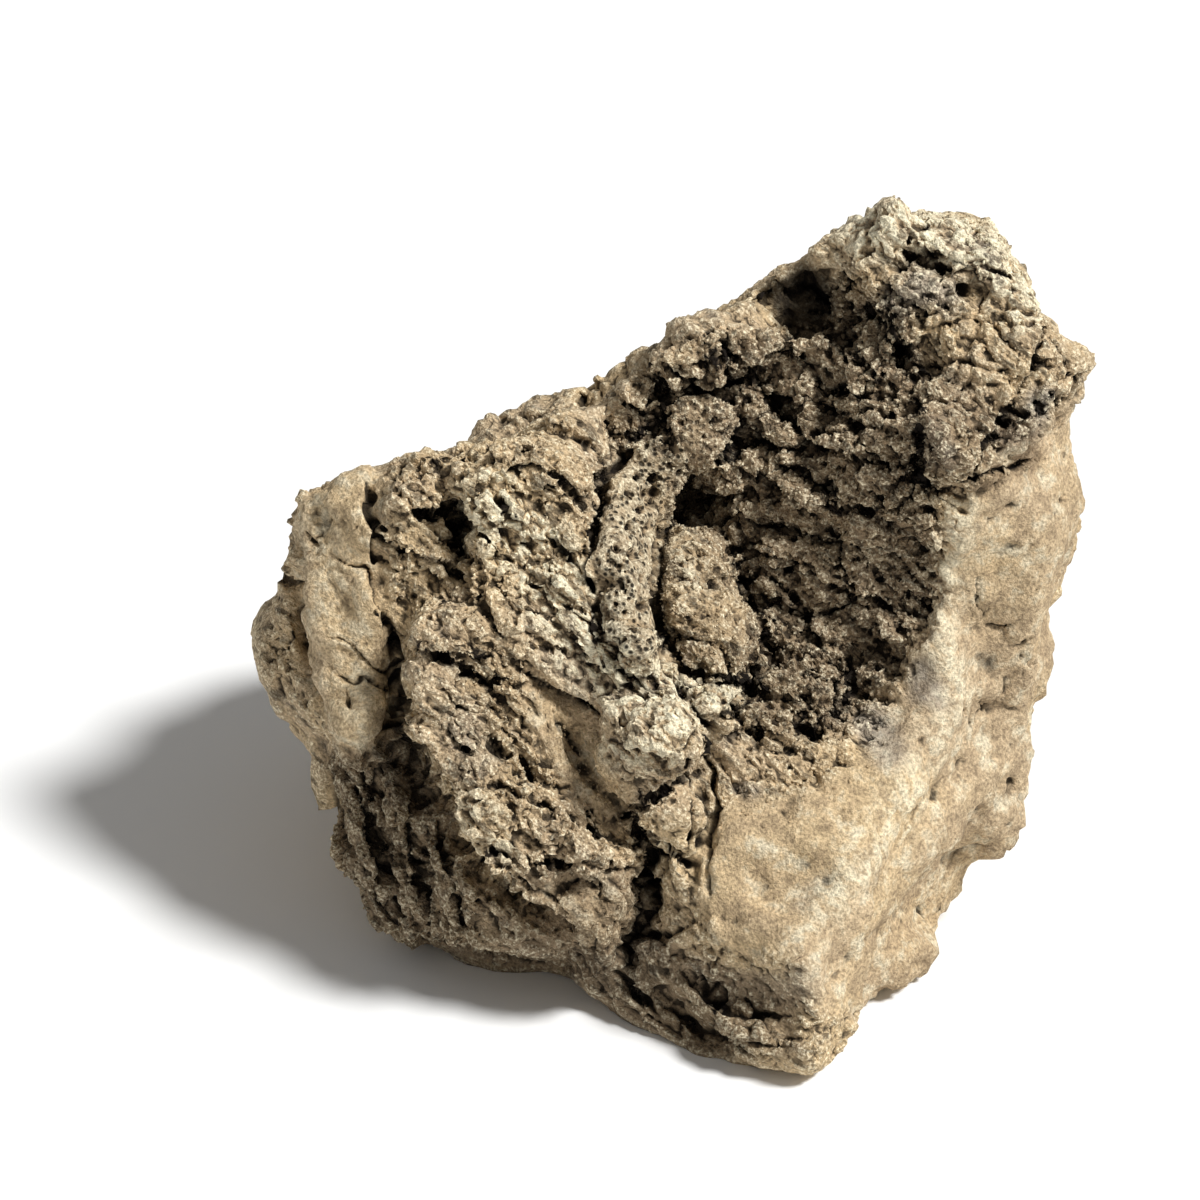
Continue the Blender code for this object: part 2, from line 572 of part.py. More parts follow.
def wander(across, up):
    """The places across and up that the relief is read at, so that no outline of it runs true."""
    places = np.column_stack((across, up, np.zeros(len(across))))
    moved = places[:, :2].copy()
    for size, reach in zip(RAGGED_SIZES, RAGGED_REACH):
        moved[:, 0] += reach * swell(places, size, 11)
        moved[:, 1] += reach * swell(places, size, 23)
    return moved[:, 0], moved[:, 1]


def clods(across, up):
    """Rubble: a rounded clod in every cell of a scattered pattern, from 0 in the gaps to 1."""
    places = np.column_stack((across, up, np.zeros(len(across)))) / CLOD_SIZE
    cells = np.floor(places).astype(np.int64)
    nearest = np.full(len(across), np.inf)
    second = np.full(len(across), np.inf)
    for step in np.ndindex(3, 3):
        cell = cells + (step[0] - 1, step[1] - 1, 0)
        at_across = cell[:, 0] + lattice_value(cell, 5)
        at_up = cell[:, 1] + lattice_value(cell, 7)
        away = np.hypot(places[:, 0] - at_across, places[:, 1] - at_up)
        second = np.minimum(second, np.maximum(nearest, away))
        nearest = np.minimum(nearest, away)
    rise = np.clip((second - nearest) / CLOD_EDGE, 0.0, 1.0)
    return rise * (2.0 - rise)


def struck(places):
    """1 on the planes that were struck smooth, the prow and the right side, and 0 elsewhere."""
    across, up, out = places.T
    off = outside_outline(across, up, STRUCK_SMOOTH)
    return np.clip(1.0 - off / RUBBLE_FADE, 0.0, 1.0) * (out > HEART[2])


def scallops(places, size, salt):
    """Chipped hollows about one size across: sharp between them, and 0 in the deepest of them."""
    scaled = places / size
    cells = np.floor(scaled).astype(np.int64)
    lowest = np.full(len(places), np.inf)
    for step in np.ndindex(3, 3, 3):
        cell = cells + step - 1
        middle = cell + np.column_stack([lattice_value(cell, salt + axis) for axis in range(3)])
        level = CHIP_STEP * lattice_value(cell, salt + 3)
        lowest = np.minimum(lowest, ((scaled - middle) ** 2).sum(axis=1) + level)
    return lowest


def roughness(places):
    """How far the surface stands in or out at places of the face: swells, and chips out of them."""
    turn_cos, turn_sin = math.cos(GRAIN_TURN), math.sin(GRAIN_TURN)
    grain = np.column_stack((
        (places[:, 0] * turn_cos + places[:, 1] * turn_sin) / GRAIN_STRETCH,
        places[:, 1] * turn_cos - places[:, 0] * turn_sin,
        places[:, 2],
    ))
    total = SWELL_HEIGHT * swell(grain, SWELL_SIZE, 31)
    for salt, (size, height) in enumerate(zip(CHIP_SIZES, CHIP_HEIGHTS)):
        total += height * (scallops(grain, size, 41 + 10 * salt) - CHIP_MEAN)
    return total * (1.0 - (1.0 - STRUCK_SHARE) * struck(places))


def rock_material():
    """Dusty tan stone with no shine."""
    material = bpy.data.materials.new("dusty_lava")
    material.use_nodes = True
    shader = material.node_tree.nodes["Principled BSDF"]
    shader.inputs["Base Color"].default_value = ROCK_COLOUR
    shader.inputs["Roughness"].default_value = 0.95
    shader.inputs["Metallic"].default_value = 0.0
    return material


def new_collection(name):
    """An empty collection linked to the scene."""
    made = bpy.data.collections.new(name)
    bpy.context.scene.collection.children.link(made)
    return made


def ground_cutter(collection):
    """A block under the ground plane, which leaves the rock a flat patch to rest on."""
    mesh = bmesh.new()
    bmesh.ops.create_cube(mesh, size=1.0)
    bmesh.ops.scale(mesh, vec=(0.4, 0.4, BURIED), verts=mesh.verts)
    bmesh.ops.translate(mesh, vec=(0.0, 0.0, -BURIED / 2), verts=mesh.verts)
    data = bpy.data.meshes.new("ground_block")
    mesh.to_mesh(data)
    mesh.free()
    block = bpy.data.objects.new("ground_block", data)
    block.hide_render = True
    block.display_type = "WIRE"
    collection.objects.link(block)
    return block


def carved_mesh():
    """The rock at full detail: the ball drawn onto its surface."""
    mesh = bmesh.new()
    bmesh.ops.create_icosphere(mesh, subdivisions=BALL_SUBDIVISIONS, radius=1.0)
    ball = np.array([vertex.co for vertex in mesh.verts])
    ball /= np.linalg.norm(ball, axis=1)[:, None]
    for vertex, point in zip(mesh.verts, to_row(rock_places(ball))):
        vertex.co = point
    return mesh


def lava_rock(collection, ground):
    """The whole rock: carved, thinned to few faces and cut flat where it rests."""
    mesh = carved_mesh()
    data = bpy.data.meshes.new("lava_rock")
    mesh.to_mesh(data)
    mesh.free()
    rock = bpy.data.objects.new("lava_rock", data)
    collection.objects.link(rock)
    data.materials.append(rock_material())
    skin = rock.modifiers.new("skin", "REMESH")
    skin.mode = "VOXEL"
    skin.voxel_size = SKIN
    thin = rock.modifiers.new("thin", "DECIMATE")
    thin.ratio = THIN_RATIO
    rest = rock.modifiers.new("resting_patch", "BOOLEAN")
    rest.operation = "DIFFERENCE"
    rest.object = ground
    return rock


def main():
    for leftover in list(bpy.data.objects):
        bpy.data.objects.remove(leftover)
    cutters = new_collection("cutters")
    rock = new_collection("lava_rock")
    lava_rock(rock, ground_cutter(cutters))


main()
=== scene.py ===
"""The dressed lava rock: its weathered skin, the grit that clings to it, and the studio it stands in.

The skin starts as a copy of the rock's solid, is refined where the broken face needs it, and is then
worn: grooves, holes and lumps at their places on the face, and stone textures from one region to
the next. Places on the broken face are in millimetres across it, up it and out of it. Each pattern
of the wear reads its own scatter of numbers, which a salt picks.
"""

import logging
import math
from collections.abc import Callable
from dataclasses import dataclass, field
from enum import Enum

import bmesh
import bpy
import numpy as np
from mathutils import Matrix, Vector
from mathutils.bvhtree import BVHTree


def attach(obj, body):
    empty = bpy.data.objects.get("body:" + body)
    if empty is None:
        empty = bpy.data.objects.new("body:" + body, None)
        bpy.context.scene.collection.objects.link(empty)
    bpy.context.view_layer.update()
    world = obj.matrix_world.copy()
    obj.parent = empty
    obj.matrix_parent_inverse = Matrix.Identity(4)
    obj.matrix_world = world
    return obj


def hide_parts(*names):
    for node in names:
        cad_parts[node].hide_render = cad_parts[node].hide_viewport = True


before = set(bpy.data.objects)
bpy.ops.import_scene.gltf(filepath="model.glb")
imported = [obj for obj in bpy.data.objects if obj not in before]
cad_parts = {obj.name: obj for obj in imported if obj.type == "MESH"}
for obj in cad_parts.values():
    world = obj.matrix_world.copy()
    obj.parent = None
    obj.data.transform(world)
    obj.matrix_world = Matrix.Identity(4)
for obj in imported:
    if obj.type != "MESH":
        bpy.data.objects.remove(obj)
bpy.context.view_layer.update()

MM = 0.001
NODE = "lava_rock"
CRACK_WIDTH = 1.6  # the cracks between broken faces are this wide, in millimetres
# The ways that the stone's streaks run on the face, in degrees from across towards up.
FLOW_WAY = -42.0
RIDGE_WAY = -45.0
HOLLOW_WAY = -32.0
PROW_WAY = 55.0
LOG = logging.getLogger("lava_rock")

Points = list[tuple[float, float]]


class Texture(Enum):
    """How the stone of one region of the broken face is textured."""

    STRUCK = "struck"
    RUBBLE = "rubble"
    FLOW = "flow"
    HOLEY = "holey"
    LAYERED = "layered"
    LUMPY = "lumpy"


class Tint(Enum):
    """What colours one region of the broken face over the common tan of the stone. Besides the stone's
    own tints, the painted-shade tint and part of the brown tint paint shade, and part of the cream tint
    paints highlights.
    """

    # Brown stone, and painted shade on the hollow and on faces turned from the light
    BROWN = "brown"
    # Pale crust, and painted highlights on lit crests, tops and edges
    CREAM = "cream"
    GREY = "grey"
    # Painted shade: darkens recesses, the foot and the pocket where shade falls
    BLACK = "black"
    SAND = "sand"


@dataclass(frozen=True)
class BrokenFace:
    """The way the broken face lies: it leans back from upright round its centre.

    Attributes:
        lean: How far it leans back, in radians.
        centre: Where its middle is in the row frame, in metres.
    """

    lean: float = math.radians(32.0)
    centre: tuple[float, float, float] = (0.0017, -0.0268, 0.088)

    def axes(self) -> np.ndarray:
        """Rows that point across the face, up it and out of it, in the row frame."""
        cos, sin = math.cos(self.lean), math.sin(self.lean)
        return np.array(((1.0, 0.0, 0.0), (0.0, sin, cos), (0.0, -cos, sin)))

    def to_face(self, places: np.ndarray) -> np.ndarray:
        """Places of the row frame, in metres, as millimetres across, up and out."""
        return (places - np.array(self.centre)) @ self.axes().T / MM

    def to_row(self, places: np.ndarray) -> np.ndarray:
        """Millimetres across, up and out as places of the row frame, in metres."""
        return places * MM @ self.axes() + np.array(self.centre)

    def direction(self, across: float, up: float, out: float) -> Vector:
        """A direction of the face in the row frame, one long."""
        return Vector(np.array((across, up, out)) @ self.axes()).normalized()


FACE = BrokenFace()
MASKS = ("raised", "open", "holey", "struck", *[tint.value for tint in Tint])


def lattice_bits(cells: np.ndarray, salt: int) -> np.ndarray:
    """A fixed scatter of whole numbers of 32 bits over a lattice of whole-number cells.

    Args:
        cells: Whole numbers, three to a row.
        salt: Which of many scatters is read.

    Returns:
        One number for each row.
    """
    mixed = cells[:, 0] * 374761393 + cells[:, 1] * 668265263 + cells[:, 2] * 974634777
    mixed = (mixed + salt * 362437) & 0xFFFFFFFF
    mixed = ((mixed ^ (mixed >> 13)) * 1274126177) & 0xFFFFFFFF
    mixed = ((mixed ^ (mixed >> 16)) * 2246822519) & 0xFFFFFFFF
    return mixed ^ (mixed >> 13)


def swell(places: np.ndarray, size: float, salt: int) -> np.ndarray:
    """Smooth random swells of about one size, from -1 to 1.

    Args:
        places: Points, three to a row.
        size: Distance between swells, in the points' unit.
        salt: Which of many patterns is read.

    Returns:
        One height for each point.
    """
    scaled = places / size
    cells = np.floor(scaled).astype(np.int64)
    part = scaled - cells
    part = part * part * (3.0 - 2.0 * part)
    total = np.zeros(len(places))
    for corner in np.ndindex(2, 2, 2):
        weight = np.prod(np.where(np.array(corner) == 1, part, 1.0 - part), axis=1)
        total += weight * (lattice_bits(cells + corner, salt) & 0xFFFF) / 0xFFFF
    return total * 2.0 - 1.0


def rough_swell(places: np.ndarray, size: float, salt: int, octaves: int = 3) -> np.ndarray:
    """Swells with smaller swells on them, each half the size and half the height.

    Args:
        places: Points, three to a row.
        size: Size of the largest swells.
        salt: Which of many patterns is read.
        octaves: How many sizes are added up.

    Returns:
        One height for each point, from about -1 to 1.
    """
    total = np.zeros(len(places))
    for octave in range(octaves):
        total += swell(places, size / 2**octave, salt + octave) / 2**octave
    return total / 1.5


@dataclass(frozen=True)
class CellReading:
    """What a scatter of seeds gives at each point, in cell widths.

    Attributes:
        first: Distance to the nearest seed.
        second: Distance to the second nearest.
        offset: The way from the nearest seed to the point.
        own: Three values from 0 to 1 that belong to the nearest seed.
    """

    first: np.ndarray
    second: np.ndarray
    offset: np.ndarray
    own: np.ndarray


def nearest_cells(places: np.ndarray, size: float, salt: int) -> CellReading:
    """Finds the nearest of a scatter of seeds, one seed to a cell.

    Args:
        places: Points, three to a row.
        size: Width of a cell.
        salt: Which of many scatters is read.

    Returns:
        The distances to the two nearest seeds and what belongs to the nearest.
    """
    scaled = places / size
    cells = np.floor(scaled).astype(np.int64)
    first = np.full(len(places), np.inf)
    second = np.full(len(places), np.inf)
    offset = np.zeros((len(places), 3))
    mixed_of = np.zeros(len(places), np.int64)
    for step in np.ndindex(3, 3, 3):
        cell = cells + np.array(step) - 1
        mixed = lattice_bits(cell, salt)
        seed = np.column_stack((mixed & 1023, (mixed >> 10) & 1023, (mixed >> 20) & 1023)) / 1023.0
        way = scaled - cell - seed
        away = (way * way).sum(axis=1)
        nearer = away < first
        second = np.where(nearer, first, np.minimum(second, away))
        first = np.where(nearer, away, first)
        mixed_of = np.where(nearer, mixed, mixed_of)
        offset = np.where(nearer[:, None], way, offset)
    again = (mixed_of * 2246822519 + 3266489917) & 0xFFFFFFFF
    again = ((again ^ (again >> 15)) * 2654435761) & 0xFFFFFFFF
    own = np.column_stack((again & 1023, (again >> 10) & 1023, (again >> 20) & 1023)) / 1023.0
    return CellReading(np.sqrt(first), np.sqrt(second), offset, own)


def ridges(places: np.ndarray, size: float, salt: int, octaves: int = 4) -> np.ndarray:
    """Sharp crests with smaller crests on them, from about -0.5 in the valleys to 0.5 on the crests.

    Args:
        places: Points, three to a row.
        size: Distance between the largest crests.
        salt: Which of many patterns is read.
        octaves: How many sizes are added up.

    Returns:
        One height for each point.
    """
    total, weight = np.zeros(len(places)), np.ones(len(places))
    for octave in range(octaves):
        crest = 1.0 - np.abs(swell(places, size / 2**octave, salt + octave))
        crest = crest * crest * weight
        total += crest / 2**octave
        weight = np.clip(crest * 1.7, 0.0, 1.0)
    return total / 1.5 - 0.5


def along_flow(places: np.ndarray, degrees: float, squeeze: float) -> np.ndarray:
    """Turns and squeezes places, so that a pattern on them runs in streaks.

    Args:
        places: Millimetres across, up and out.
        degrees: The way of the streaks, from across towards up.
        squeeze: How much shorter the places become along them.

    Returns:
        The new places.
    """
    cos, sin = math.cos(math.radians(degrees)), math.sin(math.radians(degrees))
    along = places[:, 0] * cos + places[:, 1] * sin
    beside = places[:, 1] * cos - places[:, 0] * sin
    return np.column_stack((along * squeeze, beside, places[:, 2]))


def clods(places: np.ndarray, size: float, salt: int, edge: float = 0.5) -> np.ndarray:
    """Rounded clods with gaps between them, from -0.6 in the gaps to 0.4 on top."""
    read = nearest_cells(places, size, salt)
    rise = np.clip((read.second - read.first) / edge, 0.0, 1.0)
    return rise * (2.0 - rise) * (0.7 + 0.3 * read.own[:, 0]) - 0.6


def shards(
    places: np.ndarray, size: float, salt: int, tilt: float = 0.9, step: float = 0.5, gap: float = 0.0
) -> np.ndarray:
    """Broken faces, each flat and tilted its own way, with steps and cracks between them.

    Args:
        places: Points, three to a row.
        size: Width of a broken face.
        salt: Which of many patterns is read.
        tilt: How steeply they are tilted.
        step: How far they stand over each other.
        gap: How deep the cracks between them are.

    Returns:
        The height at each point, in widths of a face and 0 on average.
    """
    read = nearest_cells(places, size, salt)
    flat = (read.offset * (read.own * 2.0 - 1.0)).sum(axis=1) * tilt
    crack = 1.0 - smooth_step(read.second - read.first, 0.0, CRACK_WIDTH / size)
    return flat + step * (read.own[:, 0] - 0.5) - gap * crack * read.own[:, 1]


def holes(places: np.ndarray, size: float, salt: int, share: float) -> np.ndarray:
    """Round gas holes of mixed sizes: 0 outside them and 1 at their floors.

    Args:
        places: Points, three to a row.
        size: Width of the cell that each hole lies in.
        salt: Which of many scatters is read.
        share: Radius of the largest hole as a share of its cell.

    Returns:
        The depth at each point.
    """
    read = nearest_cells(places, size, salt)
    radius = share * (0.25 + 0.75 * read.own[:, 0]) * (read.own[:, 1] > 0.2) + 0.001
    return np.clip((radius - read.first) / (0.35 * radius), 0.0, 1.0)


def on_part(
    places: np.ndarray, weight: np.ndarray, relief: Callable[[np.ndarray], np.ndarray]
) -> np.ndarray:
    """Works out a relief only where it counts.

    Args:
        places: Points, three to a row.
        weight: How much of the relief each point has.
        relief: Gives the heights of points.

    Returns:
        The weighted height at each point.
    """
    height = np.zeros(len(places))
    part = weight > 0.01
    height[part] = weight[part] * relief(places[part])
    return height


def near_points(places: np.ndarray, line: list[tuple], margin: float) -> np.ndarray:
    """Indices of the places within a margin of the box round some points of the face."""
    low = np.array(line, float)[:, :2].min(axis=0) - margin
    high = np.array(line, float)[:, :2].max(axis=0) + margin
    return np.nonzero(((places[:, :2] > low) & (places[:, :2] < high)).all(axis=1))[0]


def smooth_step(value: np.ndarray, low: float, high: float) -> np.ndarray:
    """0 below low, 1 above high and a smooth rise between them."""
    part = np.clip((value - low) / (high - low), 0.0, 1.0)
    return part * part * (3.0 - 2.0 * part)


def off_line(across: np.ndarray, up: np.ndarray, line: list[tuple]) -> tuple[np.ndarray, ...]:
    """How far places are from a line of straight runs, and how far along it the nearest point is.

    Args:
        across: The places across the face.
        up: The places up it.
        line: The line's points. Only their first two numbers are read.

    Returns:
        The distance, the index of the run that is nearest and the share of that run.
    """
    nearest = np.full(across.shape, np.inf)
    run = np.zeros(across.shape, int)
    share = np.zeros(across.shape)
    for index, (start, end) in enumerate(zip(line, line[1:])):
        da, du = end[0] - start[0], end[1] - start[1]
        along = np.clip(((across - start[0]) * da + (up - start[1]) * du) / (da * da + du * du), 0, 1)
        away = np.hypot(across - start[0] - along * da, up - start[1] - along * du)
        closer = away < nearest
        run, share = np.where(closer, index, run), np.where(closer, along, share)
        nearest = np.where(closer, away, nearest)
    return nearest, run, share


def inside_outline(across: np.ndarray, up: np.ndarray, outline: Points, fade: float) -> np.ndarray:
    """1 inside a closed outline, falling to 0 over the fade outside it.

    Args:
        across: The places across the face.
        up: The places up it.
        outline: The corners of the outline, in order.
        fade: Distance outside over which the value falls.

    Returns:
        One value for each place.
    """
    closed = outline + outline[:1]
    within = np.zeros(across.shape, bool)
    for start, end in zip(closed, closed[1:]):
        crosses = (start[1] > up) != (end[1] > up)
        rise = end[1] - start[1] if end[1] != start[1] else 1.0
        at = start[0] + (up - start[1]) * (end[0] - start[0]) / rise
        within ^= crosses & (across < at)
    away = np.where(within, 0.0, off_line(across, up, closed)[0])
    return 1.0 - smooth_step(away, 0.0, fade)


@dataclass(frozen=True)
class Groove:
    """A crack, gap or crease (depth over 0) or a crest (depth under 0) along a line of the face.

    Attributes:
        half_width: From the line to where its walls end.
        depth: How deep it is in its middle.
        line: Its points, across and up.
        wander: How far it strays from the line.
    """

    half_width: float
    depth: float
    line: Points
    wander: float = 0.8

    def cut(self, places: np.ndarray) -> np.ndarray:
        """How deep it cuts at each place of the face, thinning out towards its ends."""
        depth = np.zeros(len(places))
        near = near_points(places, self.line, self.half_width * 3.0 + self.wander)
        places = places[near]
        across = places[:, 0] + self.wander * swell(places, 3.1, 71)
        up = places[:, 1] + self.wander * swell(places, 3.1, 72)
        away, run, share = off_line(across, up, self.line)
        along = (run + share) / (len(self.line) - 1)
        taper = 0.45 + 0.55 * np.sin(math.pi * np.clip(along, 0.0, 1.0)) ** 0.7
        width = self.half_width * taper * (1.0 + 0.35 * swell(places, 2.3, 73))
        depth[near] = self.depth * taper * np.exp(-((away / width) ** 2) * 1.6)
        return depth


@dataclass(frozen=True)
class Crest:
    """A sharp edge between two sides of the rock, along a line of the face.

    Attributes:
        half_width: From the line to where it has died away.
        height: How far it stands out.
        line: Its points, across and up.
    """

    half_width: float
    height: float
    line: Points

    def rise(self, places: np.ndarray) -> np.ndarray:
        """How far it stands out at each place of the face."""
        height = np.zeros(len(places))
        near = near_points(places, self.line, self.half_width + 2.0)
        places = places[near]
        across = places[:, 0] + 1.2 * swell(places, 6.0, 76)
        up = places[:, 1] + 1.2 * swell(places, 6.0, 77)
        away = off_line(across, up, self.line)[0]
        height[near] = self.height * np.clip(1.0 - away / self.half_width, 0.0, 1.0) ** 1.4
        return height


@dataclass(frozen=True)
class Spot:
    """An oval lump (height over 0) or pit (height under 0) on the face.

    Attributes:
        across: Where its middle is.
        up: Where its middle is.
        half_width: Half its length.
        height: How far it stands out.
        shape: Its breadth as a share of its length.
        turn: How far its length is turned from across, in degrees.
    """

    across: float
    up: float
    half_width: float
    height: float
    shape: float = 1.0
    turn: float = 0.0

    def rise(self, places: np.ndarray) -> np.ndarray:
        """How far it stands out at each place of the face."""
        height = np.zeros(len(places))
        near = near_points(places, [(self.across, self.up)], self.half_width * 2.6)
        places = places[near]
        turn = math.radians(self.turn)
        da, du = places[:, 0] - self.across, places[:, 1] - self.up
        along = da * math.cos(turn) + du * math.sin(turn)
        beside = (du * math.cos(turn) - da * math.sin(turn)) / self.shape
        ragged = 1.0 + 0.25 * swell(places, self.half_width, 81)
        away = np.hypot(along, beside) / (self.half_width * ragged)
        height[near] = self.height * np.exp(-0.9 * away**3)
        return height


@dataclass(frozen=True)
class Ledge:
    """A slab of the face that stands over what is beside it, with a broken edge.

    Attributes:
        outline: Its corners, across and up.
        height: How far its edge stands out.
        fade: How wide the broken edge is.
        inward: How far in from its edge it sinks back to its surroundings. 0 keeps it level.
    """

    outline: Points
    height: float
    fade: float = 1.6
    inward: float = 0.0

    def rise(self, places: np.ndarray) -> np.ndarray:
        """How far it stands out at each place of the face."""
        height = np.zeros(len(places))
        near = near_points(places, self.outline, self.fade + 3.0)
        places = places[near]
        across = places[:, 0] + 1.5 * swell(places, 5.0, 91) + 0.7 * swell(places, 2.2, 92)
        up = places[:, 1] + 1.5 * swell(places, 5.0, 93) + 0.7 * swell(places, 2.2, 94)
        level = inside_outline(across, up, self.outline, self.fade)
        if self.inward:
            edge = off_line(across, up, self.outline + self.outline[:1])[0]
            level = level * (1.0 - 0.8 * smooth_step(edge, 0.0, self.inward))
        height[near] = self.height * level
        return height


@dataclass(frozen=True)
class Region:
    """A stretch of the broken face with one texture or tint: an outline, or a band along a line.

    Attributes:
        kind: Its texture or its tint.
        outline: The corners of its outline, or the points of its line.
        strength: How fully it has it.
        band: Half the width of the band along its line, and 0 for an outline.
        fade: How far outside it the texture or tint dies away.
    """

    kind: Texture | Tint
    outline: Points
    strength: float = 1.0
    band: float = 0.0
    fade: float = 4.0

    def weight(self, across: np.ndarray, up: np.ndarray) -> np.ndarray:
        """How much of the texture or tint each place has."""
        weight = np.zeros(len(across))
        near = near_points(np.column_stack((across, up)), self.outline, self.band + self.fade)
        across, up = across[near], up[near]
        if self.band:
            away = off_line(across, up, self.outline)[0] - self.band
            weight[near] = self.strength * (1.0 - smooth_step(away, -self.fade / 2, self.fade / 2))
        else:
            weight[near] = self.strength * inside_outline(across, up, self.outline, self.fade)
        return weight


RIB_LINE = [(-3, 44), (-9, 35), (-11, 27), (-13, 18), (-12, 9), (-9, 1)]
BOULDER_LINE = [(3, 18), (7, 9), (11, 0)]

